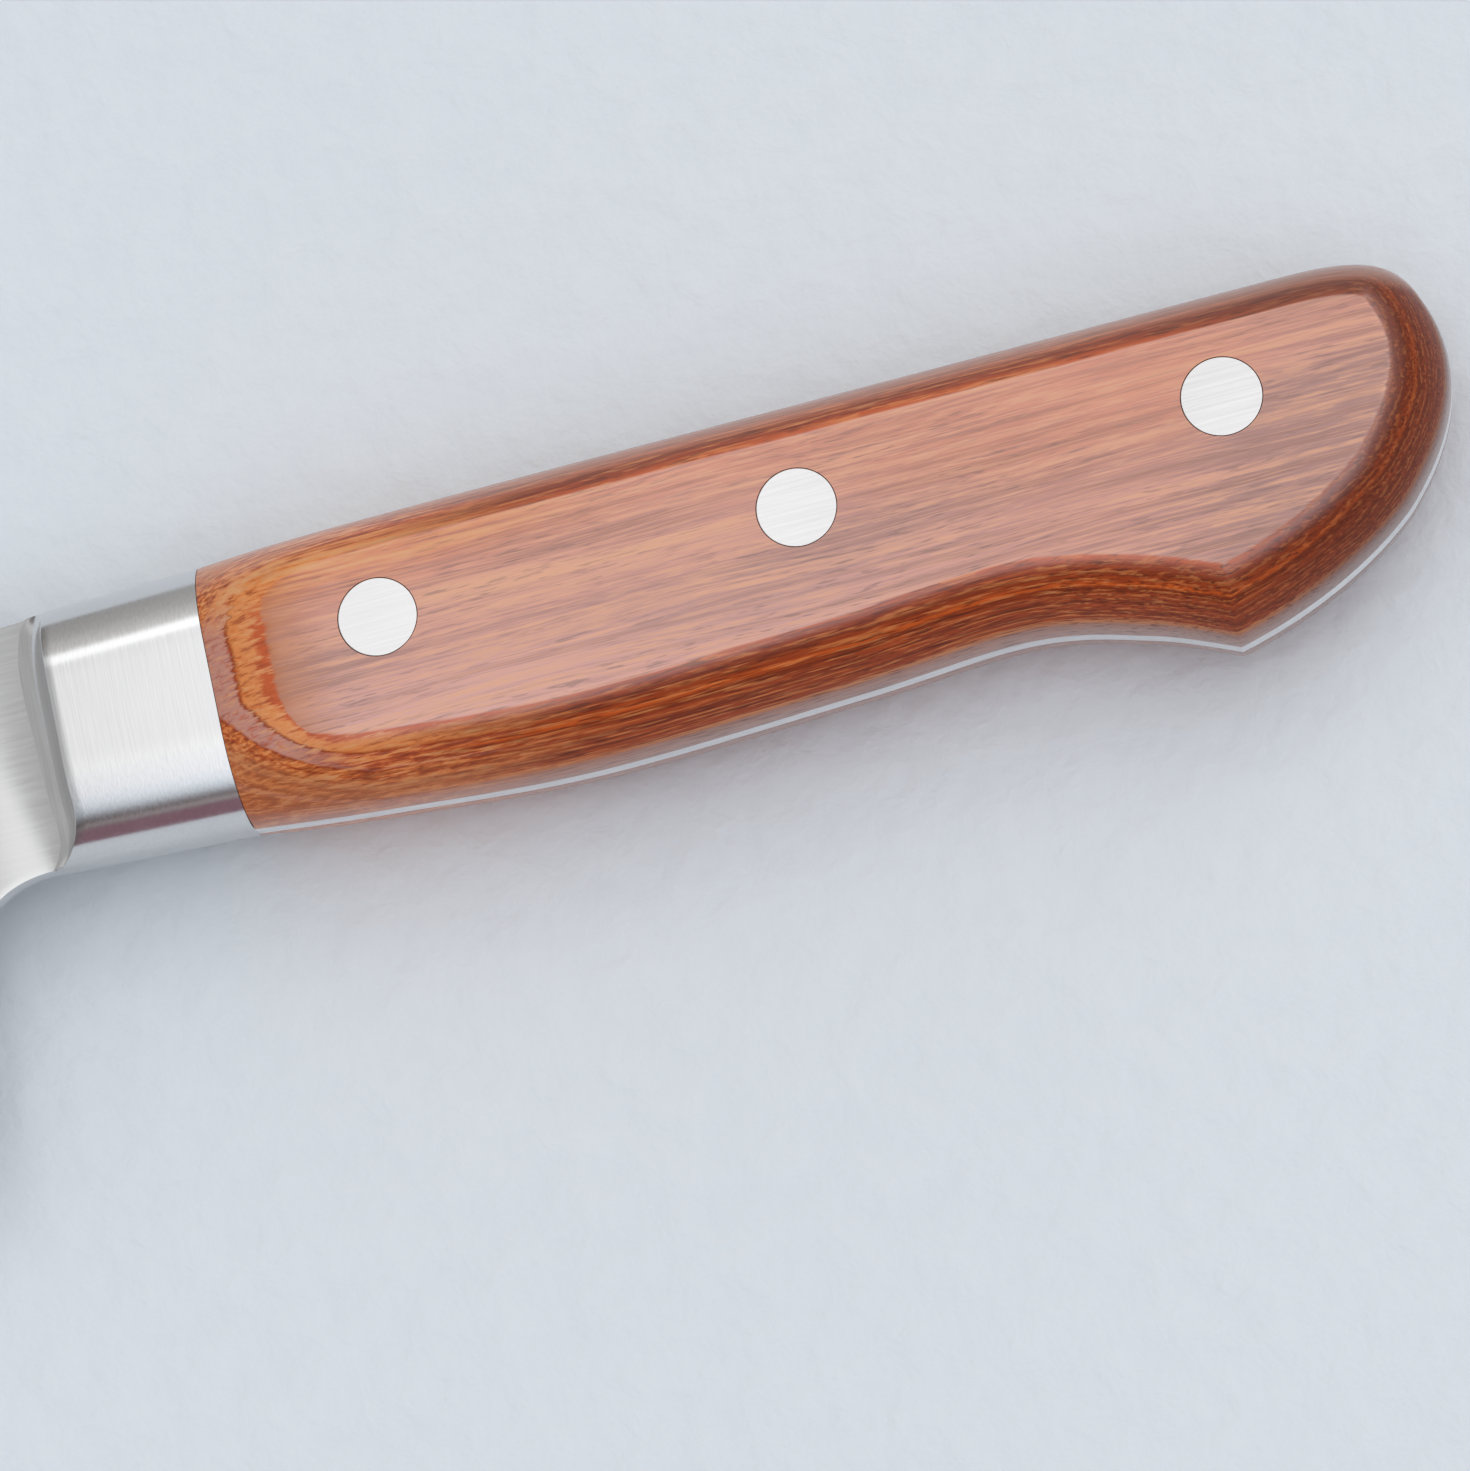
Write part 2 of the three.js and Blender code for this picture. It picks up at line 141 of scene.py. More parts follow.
class Wire:  # a socket that takes part in sums
    def __init__(self, tree, socket):
        self.tree = tree
        self.socket = socket

    def math(self, operation, *others):
        node = addNode(self.tree, "ShaderNodeMath", operation=operation)
        for i, value in enumerate((self, *others)):
            if isinstance(value, Wire):
                self.tree.links.new(value.socket, node.inputs[i])
            else:
                node.inputs[i].default_value = value
        return Wire(self.tree, node.outputs[0])

    def __add__(self, other):
        return self.math("ADD", other)

    def __sub__(self, other):
        return self.math("SUBTRACT", other)

    def __rsub__(self, other):
        return self.math("MULTIPLY", -1.0) + other

    def __mul__(self, other):
        return self.math("MULTIPLY", other)

    def __truediv__(self, other):
        return self.math("DIVIDE", other)

    def __pow__(self, other):
        return self.math("POWER", other)

    __radd__ = __add__
    __rmul__ = __mul__

    def clamped(self):
        node = addNode(self.tree, "ShaderNodeClamp", {"Value": self.socket})
        return Wire(self.tree, node.outputs[0])

    def below(self, other):
        return self.math("LESS_THAN", other)

    def least(self, other):
        return self.math("MINIMUM", other)

    def most(self, other):
        return self.math("MAXIMUM", other)

    def between(self, low, high, start=0.0, end=1.0):  # smooth step from start at low to end at high
        values = {"Value": self.socket, "From Min": low, "From Max": high, "To Min": start, "To Max": end}
        node = addNode(self.tree, "ShaderNodeMapRange", values, interpolation_type="SMOOTHSTEP")
        return Wire(self.tree, node.outputs[0])


def noiseAt(tree, place, scale, detail=3.0, rough=0.55, distortion=0.0):
    mapping = addNode(tree, "ShaderNodeMapping", {"Vector": place, "Scale": scale})
    values = {"Vector": mapping.outputs[0], "Scale": 1.0, "Detail": detail, "Roughness": rough,
              "Distortion": distortion}
    return Wire(tree, addNode(tree, "ShaderNodeTexNoise", values).outputs["Fac"])


def rampOf(tree, wire, stops):
    node = addNode(tree, "ShaderNodeValToRGB", {"Fac": wire.socket})
    elements = node.color_ramp.elements
    while len(elements) < len(stops):
        elements.new(0.5)
    for element, (position, colour) in zip(elements, stops):
        element.position = position
        element.color = (*colour, 1.0)
    return node.outputs["Color"]


def mixColour(tree, share, a, b, blend="MIX"):
    node = addNode(tree, "ShaderNodeMix", data_type="RGBA", blend_type=blend)
    for socket, value in ((node.inputs[0], share), (node.inputs[6], a), (node.inputs[7], b)):
        if isinstance(value, Wire):
            tree.links.new(value.socket, socket)
        elif isinstance(value, bpy.types.NodeSocket):
            tree.links.new(value, socket)
        else:
            socket.default_value = (*value, 1.0) if isinstance(value, tuple) else value
    return node.outputs[2]


def placeInMillimetres(tree):  # object coordinates, brought to the handle's own axes
    coords = addNode(tree, "ShaderNodeTexCoord")
    values = {"Vector": coords.outputs["Object"], "Scale": (1 / mm,) * 3, "Location": tuple(-shift)}
    return addNode(tree, "ShaderNodeMapping", values).outputs[0]


def bumpFrom(tree, wire, strength, distance):
    values = {"Height": wire.socket, "Strength": strength, "Distance": distance}
    return addNode(tree, "ShaderNodeBump", values).outputs[0]


# finishes

dye = {
    "umber": (0.1, 0.018, 0.007),
    "chestnut": (0.23, 0.034, 0.008),
    "russet": (0.34, 0.052, 0.012),
    "ember": (0.6, 0.1, 0.015),
    "amber": (0.8, 0.275, 0.08),
    "tan": (0.8, 0.4, 0.17),
    "mauve": (0.6, 0.28, 0.22),
    "pink": (0.68, 0.295, 0.23),
    "dusk": (0.44, 0.205, 0.17),
    "peach": (0.8, 0.38, 0.215),
    "bark": (0.53, 0.19, 0.075),
    "lessSheenApricot": (0.76, 0.24, 0.115),
    "walnut": (0.32, 0.115, 0.055),
    "sheenBlush": (0.75, 0.38, 0.33),
    "reflectionGreyBrown": (0.36, 0.17, 0.125),
    "pore": (0.22, 0.1, 0.078),
}
woodLook = {
    "frontPlies": [  # thickness in mm and dye, from the flat down, as they show beside the bolster
        (0.26, "ember"), (0.8, "amber"), (0.14, "russet"), (1.3, "mauve"), (0.16, "russet"),
        (0.5, "amber"), (0.26, "russet"), (0.5, "amber"), (0.26, "chestnut"), (0.6, "tan"),
        (0.5, "russet"), (0.6, "amber"), (0.5, "chestnut"), (0.6, "mauve"), (1.6, "russet"),
    ],
    "bodyPlies": [  # the same stack further back, where the dye went deeper
        (0.18, "ember"), (0.5, "russet"), (0.3, "chestnut"), (0.5, "russet"), (0.3, "ember"),
        (0.5, "chestnut"), (0.6, "russet"), (0.5, "chestnut"), (0.7, "russet"), (0.5, "chestnut"),
        # the last, dull grey-brown ply beside the tang is a painted reflection of the table, beside the
        # coat's own real reflection
        (0.8, "russet"), (0.6, "bark"), (2.7, "reflectionGreyBrown"),
    ],
    "plySoftness": (0.09, 0.4),  # mm, and at most this share of the ply
    "plyWaver": 0.55,  # how far the layers stray, mm
    "fibreWaver": 0.5,
    "hairWaver": 0.4,
    "combWaver": 0.7,
    "flameLevel": 0.4,  # streaks stronger than this draw the layers out into flames
    "flameReach": 4.0,
    "frontEnds": (13.0, 34.0),  # from the seam, where the front's dye gives way to the body's
    "frontFray": 30.0,
    "cornerSpot": (12.4, -4.2),  # the plies turn round this spot in a wide bow
    "cornerRadius": 6.2,
    "cornerFall": 0.9,
    "strandSpacing": 0.46,  # golden strands in the dark plies
    "strandSway": 3.0,
    "fibreSway": 1.8,  # how far a slow wave carries the fibres sideways
    "faceDepth": (0.027, 0.09),  # the ply that shows on the flat thins out between these
    "faceFray": 0.1,
    "toneShift": 0.83,
    # how far the painted deeper orange of weaker sheen is lifted along the back, mm
    "lessSheenLift": 6.0,
}
woodSheen = {
    "rough": 0.4,
    "specular": 0.15,
    "coat": 0.95,  # polished on the flat and beside the tang
    "crestCoat": 0.7,
    "leastCoat": 0.05,
    "coatIor": 1.8,
    "coatRough": 0.2,
    "relief": (0.12, 0.00006),
}
woodNoise = {  # scale along, up and through the handle, then detail and roughness
    "slow": ((0.03, 0.2, 0.2), 1.0, 0.55),
    "patch": ((0.022, 0.12, 0.14), 1.0, 0.55),
    "tuft": ((0.24, 1.1, 3.0), 2.0, 0.6),  # bundles of fibre, short where a ply is cut across
    "comb": ((0.45, 3.2, 0.5), 3.0, 0.65),
}
fibreNoise = {  # the same for those that sway with the fibres
    "streak": ((0.03, 1.1, 1.3), 3.0, 0.6),
    "fibre": ((0.08, 2.4, 3.4), 3.0, 0.6),
    "hair": ((0.3, 3.4, 5.5), 2.0, 0.6),
    "fine": ((0.14, 7.0, 7.0), 2.0, 0.6),
}
falling = (1.0, 0.0)
woodMasks = {  # (what, low, high) rises from 0 to 1 between its limits, and two more numbers are other ends
    "flame": [("high", 1.0, 8.0), ("along", 14.0, 40.0, *falling)],
    "flare": [("high", 1.5, 6.0), ("along", 22.0, 44.0, *falling)],  # plies run out flatter along the back
    "crest": [("high", 5.5, 8.0), ("depth", 0.5, 1.8)],  # the rounded back, painted paler for its sheen and given more coat
    # the strands fade out beside the tang, painted as the glare there washes them out, and fade towards the
    # butt
    "shown": [("depth", 4.5, 7.0, 1.0, 0.3), ("along", 76.0, 96.0, 1.0, 0.4)],
    "beak": [("along", 45.0, 100.0), ("high", -14.0, 4.0, *falling)],
    "butt": [("along", 86.0, 104.0)],
    # where the painted deeper orange of weaker sheen reaches further down the flat
    "lift": [("along", 45.0, 75.0), ("along", 85.0, 100.0, *falling)],
    "pores": [("hair", 0.3, 0.45)],
    "flat": [("depth", 0.1, 1.2, *falling)],
    "inner": [("depth", 5.0, 7.5)],
    "blunt": [("along", 6.0, 13.0, *falling)],
}
woodSums = {
    "lick": {"streak": 0.7, "fibre": 0.5, "comb": 0.3},
    "ragged": {"fibre": 0.6, "comb": 0.4},
    "tone": {"streak": 0.7, "patch": 1.5, "fibre": 0.5, "beak": -0.42, "butt": -0.12},
    "rough": {"streak": 0.14, "pores": -0.1},
    "relief": {"fibre": 0.5, "pores": 0.6},
    "dull": {"blunt": 0.45, "flare": 0.35},
}
woodRamps = {
    "flames": [(0.6, "russet"), (0.72, "amber"), (0.86, "tan")],
    "ragged": [(0.38, "chestnut"), (0.45, "russet"), (0.5, "ember"), (0.55, "amber"), (0.64, "tan")],
    "face": [(0.22, "dusk"), (0.5, "pink"), (0.8, "peach")],
}
woodStains = {  # dye, where it shows as in the masks, and how strongly, each over those before it
    "front": [
        ("tan", [("comb", 0.52, 0.66)], 0.6),
        ("russet", [("comb", 0.34, 0.47, *falling)], 0.6),
        ("ember", [("fibre", 0.52, 0.68)], 0.5),
        ("flames", ["flare"], 0.85),
        ("ragged", [("layer", 0.9, 1.4), ("layer", 2.2, 2.8, *falling), ("along", 4.0, 13.0)], 0.9),
        ("ragged", [("layer", 2.3, 2.7)], 0.65),
        ("bark", [("layer", 3.0, 4.4)], 0.45),
    ],
    "body": [
        # painted shade: the plies darkened towards the butt to offset the light from the right there
        ("umber", [("along", 80.0, 102.0)], 0.6),
        ("amber", [("strand", 0.22, 0.44), ("tuft", 0.42, 0.56), "shown"], 0.54),
        ("tan", [("hair", 0.55, 0.7), ("tuft", 0.36, 0.5), "shown"], 0.24),
        ("ember", [("fibre", 0.5, 0.66), "shown"], 0.4),
        ("umber", [("hair", 0.34, 0.48, *falling)], 0.7),
        # painted sheen: a paler dye on the rounded back
        ("bark", ["crest"], 0.4),
    ],
    "face": [  # painted reflection: a deeper orange high on the flat and towards the back paints a weaker sheen there, and a pinker colour towards the belly paints a stronger sheen, then its streaks
        ("lessSheenApricot", [("lessSheenHeight", -1.0, 6.5), ("along", 86.0, 100.0, 1.0, 0.5),
                     ("along", 14.0, 40.0, 0.86, 0.6)], 1.0),
        ("sheenBlush", [("high", -9.0, -2.0, *falling), ("along", 50.0, 75.0, *falling),
                   ("along", 20.0, 45.0, 0.75, 0.5)], 1.0),
        ("walnut", [("streak", 0.34, 0.5, *falling)], 0.38),
        ("peach", [("streak", 0.5, 0.64)], 0.5),
        ("peach", [("fine", 0.5, 0.64)], 0.42),
        ("dusk", [("fine", 0.36, 0.48, *falling)], 0.42),
        ("peach", [("hair", 0.5, 0.66), ("streak", 0.36, 0.56)], 0.65),
        ("pore", [("hair", 0.32, 0.44, *falling), ("slow", 0.3, 0.56)], 0.55),
        ("bark", [("along", 5.5, 12.0, *falling), ("fibre", 0.3, 0.6, 0.6, 1.0)], 0.85),
        ("flames", ["flare", ("lick", 0.66, 0.82)], 0.75),
    ],
}


def plyStops(plies):
    total = sum(thickness for thickness, _ in plies)
    widest, share = woodLook["plySoftness"]
    stops, depth = [], 0.0
    for thickness, name in plies:
        soft = min(widest, thickness * share)
        stops += [((depth + soft) / total, dye[name]), ((depth + thickness - soft) / total, dye[name])]
        depth += thickness
    return stops


def dyeStops(name):
    return [(position, dye[colour]) for position, colour in woodRamps[name]]


def maskOf(grain, factors):
    return math.prod(grain[f] if isinstance(f, str) else grain[f[0]].between(*f[1:]) for f in factors)


def sumOf(grain, name):
    return sum(grain[part] * weight for part, weight in woodSums[name].items())


def stained(tree, colour, grain, dyes, name):
    for colourName, factors, strength in woodStains[name]:
        colour = mixColour(tree, maskOf(grain, factors) * strength, colour, dyes[colourName])
    return colour


def woodGrain(tree):  # where a point lies in the handle, the noises there and the masks made from both
    place = placeInMillimetres(tree)
    axes = addNode(tree, "ShaderNodeSeparateXYZ", {"Vector": place})
    grain = {"along": Wire(tree, axes.outputs["X"]), "high": Wire(tree, axes.outputs["Y"])}
    grain["depth"] = flatHeight - Wire(tree, axes.outputs["Z"]).math("ABSOLUTE")  # below the flat
    for name, noise in woodNoise.items():
        grain[name] = noiseAt(tree, place, *noise)
    sway = (grain["slow"] - 0.5) * woodLook["fibreSway"]
    sideways = addNode(tree, "ShaderNodeCombineXYZ", {"Y": sway.socket}).outputs["Vector"]
    bent = addNode(tree, "ShaderNodeVectorMath", {0: place, 1: sideways}).outputs["Vector"]
    for name, noise in fibreNoise.items():
        grain[name] = noiseAt(tree, bent, *noise)
    for name, factors in woodMasks.items():
        grain[name] = maskOf(grain, factors)
    return grain


def cornerBow(grain):  # how much deeper the plies lie outside the bow at the front lower corner
    look = woodLook
    ahead = (look["cornerSpot"][0] - grain["along"]).most(0.0)
    below = (look["cornerSpot"][1] - grain["high"]).most(0.0)
    away = ahead * ahead + below * below + 0.01  # never quite 0
    return (away ** 0.5 - look["cornerRadius"]).most(0.0) * (ahead * below / away) * look["cornerFall"]


def makeWood():
    look, sheen = woodLook, woodSheen
    material, tree, shader = newMaterial("laminatedWood")
    grain = woodGrain(tree)
    corner = cornerBow(grain)
    deeper = (grain["along"] + (grain["streak"] - 0.5) * look["frontFray"]).between(*look["frontEnds"])
    stray = (grain["slow"] - 0.5) * look["plyWaver"]
    stray = stray + (grain["comb"] - 0.5) * look["combWaver"] * (1.0 - deeper)
    for name in ("hair", "fibre"):
        stray = stray + (grain[name] - 0.5) * look[name + "Waver"] * deeper
    stray = stray + (grain["streak"] - look["flameLevel"]) * grain["flame"] * look["flameReach"]
    layer = grain["layer"] = grain["depth"] + stray + corner
    share = layer / (flatHeight - steelHalf)
    beat = (layer / look["strandSpacing"] + grain["slow"] * look["strandSway"]).math("FRACT")
    grain["strand"] = (beat - 0.5).math("ABSOLUTE")
    grain["lick"] = sumOf(grain, "lick")
    dyes = {**dye, "flames": rampOf(tree, grain["lick"], dyeStops("flames")),
            "ragged": rampOf(tree, sumOf(grain, "ragged"), dyeStops("ragged"))}
    front = stained(tree, rampOf(tree, share, plyStops(look["frontPlies"])), grain, dyes, "front")
    body = stained(tree, rampOf(tree, share, plyStops(look["bodyPlies"])), grain, dyes, "body")
    layered = mixColour(tree, deeper, front, body)

    # height on the flat, lifted along the back, that places the painted deeper orange of weaker sheen
    grain["lessSheenHeight"] = grain["high"] + grain["lift"] * look["lessSheenLift"]
    face = rampOf(tree, sumOf(grain, "tone") - look["toneShift"], dyeStops("face"))
    face = stained(tree, face, grain, dyes, "face")
    under = grain["depth"] + (grain["fibre"] - 0.5) * look["faceFray"] + corner
    colour = mixColour(tree, under.between(*look["faceDepth"], *falling), layered, face)
    tree.links.new(colour, shader.inputs["Base Color"])

    rough = sumOf(grain, "rough") + sheen["rough"]
    tree.links.new(rough.socket, shader.inputs["Roughness"])
    shader.inputs["Specular IOR Level"].default_value = sheen["specular"]
    coat = grain["flat"] * (sheen["coat"] - sumOf(grain, "dull")) + sheen["leastCoat"]
    coat = coat + (grain["inner"] * sheen["coat"]).most(grain["crest"] * sheen["crestCoat"])
    tree.links.new(coat.socket, shader.inputs["Coat Weight"])
    shader.inputs["Coat IOR"].default_value = sheen["coatIor"]
    shader.inputs["Coat Roughness"].default_value = sheen["coatRough"]
    tree.links.new(bumpFrom(tree, sumOf(grain, "relief"), *sheen["relief"]), shader.inputs["Normal"])
    return material


metalLooks = {
    "bladeSteel": {"colour": (0.71, 0.71, 0.712), "rough": 0.18, "scale": (0.05, 2.6, 2.6), "bump": 0.035,
                   "grain": 0.45},
    "bolsterSteel": {"colour": (0.7, 0.7, 0.702), "rough": 0.155, "scale": (5.0, 0.12, 5.0), "bump": 0.09,
                     "grain": 0.8},
    "rivetSteel": {"colour": (0.76, 0.752, 0.75), "rough": 0.22, "scale": (0.12, 4.5, 4.5), "bump": 0.06,
                   "grain": 0.85},
    "tangSteel": {"colour": (0.87, 0.87, 0.88), "rough": 0.44, "scale": (0.1, 3.0, 3.0), "bump": 0.06,
                  "grain": 1.0},
}
steelGrain = {
    "lines": (3.0, 0.65),  # detail and roughness of the brushing
    "cloud": ((0.09, 0.09, 0.09), 2.0),
    "lineShare": 0.7,  # the clouds have the rest
    "darker": 0.12,  # how far the brushed lines and the clouds go from the colour
    "lighter": 0.08,
    "limits": (0.3, 0.7),
    "roughLines": 0.12,
    "roughClouds": 0.08,
    "relief": 0.00003,
}


def makeSteel(name):
    look, grain = metalLooks[name], steelGrain
    material, tree, shader = newMaterial(name)
    place = placeInMillimetres(tree)
    lines = noiseAt(tree, place, look["scale"], *grain["lines"])
    cloud = noiseAt(tree, place, *grain["cloud"])
    share = lines * grain["lineShare"] + cloud * (1 - grain["lineShare"])
    low = tuple(c * (1 - grain["darker"] * look["grain"]) for c in look["colour"])
    high = tuple(min(1.0, c * (1 + grain["lighter"] * look["grain"])) for c in look["colour"])
    colour = rampOf(tree, share, list(zip(grain["limits"], (low, high))))
    tree.links.new(colour, shader.inputs["Base Color"])
    shader.inputs["Metallic"].default_value = 1.0
    middle = (grain["roughLines"] + grain["roughClouds"]) / 2
    rough = lines * grain["roughLines"] + cloud * grain["roughClouds"] + (look["rough"] - middle)
    tree.links.new(rough.socket, shader.inputs["Roughness"])
    tree.links.new(bumpFrom(tree, lines, look["bump"], grain["relief"]), shader.inputs["Normal"])
    return material


finishes = {name: makeSteel(name) for name in metalLooks}
finishes["wood"] = makeWood()
print("finishes made:", ", ".join(finishes))


# outline of the handle


def splineThrough(points, steps):
    points = np.array(points, float)
    padded = np.vstack([points[:1], points, points[-1:]])
    parts = []
    for i in range(len(points) - 1):
        a, b, c, d = padded[i:i + 4]
        t = np.linspace(0, 1, steps, endpoint=False)[:, None]
        start, end = (c - a) / 2, (d - b) / 2
        bend = (2 * b - 2 * c + start + end) * t**3 + (3 * c - 3 * b - 2 * start - end) * t**2
        parts.append(bend + start * t + b)
    return np.vstack([*parts, points[-1:]])


def bezier(a, b, c, d, steps):
    t = np.linspace(0, 1, steps + 1)[:, None]
    a, b, c, d = (np.array(p, float) for p in (a, b, c, d))
    return a * (1 - t) ** 3 + 3 * b * (1 - t) ** 2 * t + 3 * c * (1 - t) * t**2 + d * t**3


def respaced(points, step):
    gaps = np.hypot(*np.diff(points, axis=0).T)
    run = np.concatenate([[0], np.cumsum(gaps)])
    wanted = np.linspace(0, run[-1], max(2, int(round(run[-1] / step)) + 1))
    return np.stack([np.interp(wanted, run, points[:, k]) for k in (0, 1)], 1)


outlineLook = {
    "curveSteps": 200,
    "spacing": 0.5,
    "shoulderHigh": 0.55,  # share of the back's height
    "shoulderPulls": ((0.42, 1.0), (0.19, 0.89)),  # shares of the butt's corner and of the back's height
    "buttBow": (0.05, 0.27),  # shares of the back's height and of the beak's depth
    "cheekLow": 0.58,  # share of the beak's depth
    "beakPulls": ((0.48, 0.79), (0.75, 0.93)),  # shares of the beak's setback and of its depth
    "bellyTurns": ((0.42, 0.58), (0.4, 0.52), (0.4, 0.5)),  # part way beak to waist, waist and seam to swell
}


def partWay(a, b, shares):
    return tuple(mix(p, q, share) for p, q, share in zip(a, b, shares))


def handleOutline():
    h, o, steps = handle, outlineLook, outlineLook["curveSteps"]
    end, corner = h["scaleLength"], h["buttCorner"]
    level = end - corner
    top, low = h["topHeight"], -h["beakDepth"]
    back = splineThrough([(0, h["topAtSeam"]), (h["topRunIn"], top), (mix(h["topRunIn"], level, 0.5), top),
                          (level, top)], steps)
    shoulder = (end - h["shoulderSetback"], top * o["shoulderHigh"])
    cheek = (end - h["cheekSetback"], low * o["cheekLow"])
    beak = (end - h["beakSetback"], low)
    shoulderPulls = [(end - corner * a, top * b) for a, b in o["shoulderPulls"]]
    bow = [(end + h["buttPull"], top * o["buttBow"][0]), (end - h["cheekPull"], low * o["buttBow"][1])]
    beakPulls = [(end - h["beakSetback"] * a, low * b) for a, b in o["beakPulls"]]
    butt = np.vstack([
        bezier((level, top), *shoulderPulls, shoulder, steps)[:-1],
        bezier(shoulder, *bow, cheek, steps)[:-1],
        bezier(cheek, *beakPulls, beak, steps),
    ])
    waist = (end - h["waistSetback"], -h["waistDepth"])
    swell = (h["swellSetback"], -h["swellDepth"])
    seam = (0, -h["bellyAtSeam"])
    runs = zip((beak, waist, seam), (waist, swell, swell), o["bellyTurns"])
    toWaist, toSwell, toSeam = (partWay(a, b, shares) for a, b, shares in runs)
    belly = splineThrough([beak, toWaist, waist, toSwell, swell, toSeam, seam], steps)
    upper = respaced(np.vstack([back[:-1], butt]), o["spacing"])
    return np.vstack([upper, respaced(belly, o["spacing"])[1:]])


outline = handleOutline()


def bolsterTop(x):
    return mix(handle["topAtSeam"], handle["topAtBolster"], x / bolsterFront)


def bolsterBelly(x):
    return -mix(handle["bellyAtSeam"], handle["bellyAtBolster"], x / bolsterFront)


edgeLine = np.vstack([[(tip, bolsterTop(tip))], outline, [(tip, bolsterBelly(tip))]])
roundAngle = math.acos(1 - handle["flatInset"] / handle["roundReach"])
roundRise = (flatHeight - steelHalf) / math.sin(roundAngle)
rampFoot = (handle["bolsterThickness"] / 2 - steelHalf) / roundRise


def edgeDistance(points):
    a, b = edgeLine[:-1], edgeLine[1:]
    run = b - a
    found = np.full(len(points), np.inf)
    batch = 2000  # keeps the tables small
    for start in range(0, len(points), batch):
        p = points[start:start + batch, None, :]
        t = np.clip(((p - a) * run).sum(2) / (run**2).sum(1), 0, 1)
        found[start:start + batch] = np.hypot(*np.moveaxis(p - (a + run * t[..., None]), 2, 0)).min(1)
    return found


def roundedHeight(points):  # the rounding before the flat is ground on it
    inset = np.minimum(edgeDistance(points), handle["roundReach"])
    arc = np.sqrt(np.clip(1 - (1 - inset / handle["roundReach"]) ** 2, 0, 1))
    ramp = 1 - (1 - np.clip(points[:, 0] / handle["rampLength"], 0, 1)) ** 3
    return steelHalf + roundRise * arc * mix(rampFoot, 1, ramp)


def sideHeight(points):  # the flat, its edge eased where it runs out into the rounding
    rounded = roundedHeight(points)
    ease = handle["flatEase"]
    share = np.clip(0.5 + (flatHeight - rounded) / ease / 2, 0, 1)
    return mix(flatHeight, rounded, share) - ease * share * (1 - share)


# meshes


def addObject(name, data):
    made = bpy.data.objects.new(name, data)
    bpy.context.scene.collection.objects.link(made)
    return made


meshLimits = {"weld": 1e-7, "thinnest": 1e-8, "fillWeld": 1e-6}


def cleanMesh(mesh, crease, fill=False):
    work = bmesh.new()
    work.from_mesh(mesh)
    bmesh.ops.remove_doubles(work, verts=work.verts, dist=meshLimits["weld"])
    bmesh.ops.dissolve_degenerate(work, edges=work.edges, dist=meshLimits["thinnest"])
    if fill:
        bmesh.ops.holes_fill(work, edges=[e for e in work.edges if e.is_boundary], sides=0)
    bmesh.ops.recalc_face_normals(work, faces=work.faces)
    work.to_mesh(mesh)
    work.free()
    mesh.shade_smooth()
    mesh.set_sharp_from_angle(angle=math.radians(crease))


def pieceFrom(name, corners, faces, material, crease):
    mesh = bpy.data.meshes.new(name)
    mesh.from_pydata([tuple((np.array(c) + shift) * mm) for c in corners], [], [tuple(f) for f in faces])
    mesh.materials.append(material)
    cleanMesh(mesh, crease)
    return addObject(name, mesh)


def ringFaces(rows, columns, start=0):  # between closed rings of points
    faces = []
    for i in range(rows - 1):
        for j in range(columns):
            a, b = start + i * columns + j, start + i * columns + (j + 1) % columns
            faces.append((a, b, b + columns, a + columns))
    return faces


def filledFlat(loops):  # triangles between an outer loop and the holes inside it
    points, edges = [], []
    for loop in loops:
        first = len(points)
        points += [Vector((float(x), float(y))) for x, y in loop]
        edges += [(first + i, first + (i + 1) % len(loop)) for i in range(len(loop))]
    made = delaunay_2d_cdt(points, edges, [], 0, meshLimits["fillWeld"])
    corners = np.array([tuple(p) for p in made[0]])
    faces = list(made[2])
    centres = np.array([corners[list(f)].mean(0) for f in faces])
    inside = insideLoop(centres, np.array(loops[0]))
    for hole in loops[1:]:
        inside &= ~insideLoop(centres, np.array(hole))
    return corners, [f for f, keep in zip(faces, inside) if keep]


def insideLoop(points, loop):
    hits = np.zeros(len(points), int)
    for (ax, ay), (bx, by) in zip(loop, np.roll(loop, -1, 0)):
        spans = (ay > points[:, 1]) != (by > points[:, 1])
        with np.errstate(divide="ignore", invalid="ignore"):
            cross = ax + (points[:, 1] - ay) * (bx - ax) / (by - ay)
        hits += spans & (points[:, 0] < cross)
    return hits % 2 == 1


rivets = {
    "count": 3,
    "first": 15.9,
    "pitch": 37.6,
    "head": 7.0,
    "headDepth": 3.0,
    "tube": 5.0,
    "pin": 3.8,
    "tubeReach": 5.0,
    "pinReach": 3.0,
    "boreSpare": 1.0,
    "pinClearance": 0.1,
    "clearance": 0.06,
    "edgeRound": 0.06,
    "innerRing": 0.5,  # share of the head, and how many roundings in from its rim the next ring is
    "rimRing": 1.4,
    "roundSteps": 5,
    "steps": 72,
    "weld": 1e-7,
    "crease": 30.0,
}
rivetPlaces = [rivets["first"] + i * rivets["pitch"] for i in range(rivets["count"])]


def circleAt(x, radius):
    turn = np.linspace(0, 2 * math.pi, rivets["steps"], endpoint=False)
    return np.stack([x + radius * np.cos(turn), radius * np.sin(turn)], 1)


def atHeight(flat, z):
    return np.column_stack([flat, np.full(len(flat), z)])


scaleLook = {
    "rings": 26,
    "easeRings": 10,
    "seamStep": 0.45,
    "beakSpan": 7,
    "searchReach": 3,  # times the rounding
    "searchSteps": 32,
    "crease": 14.0,
}


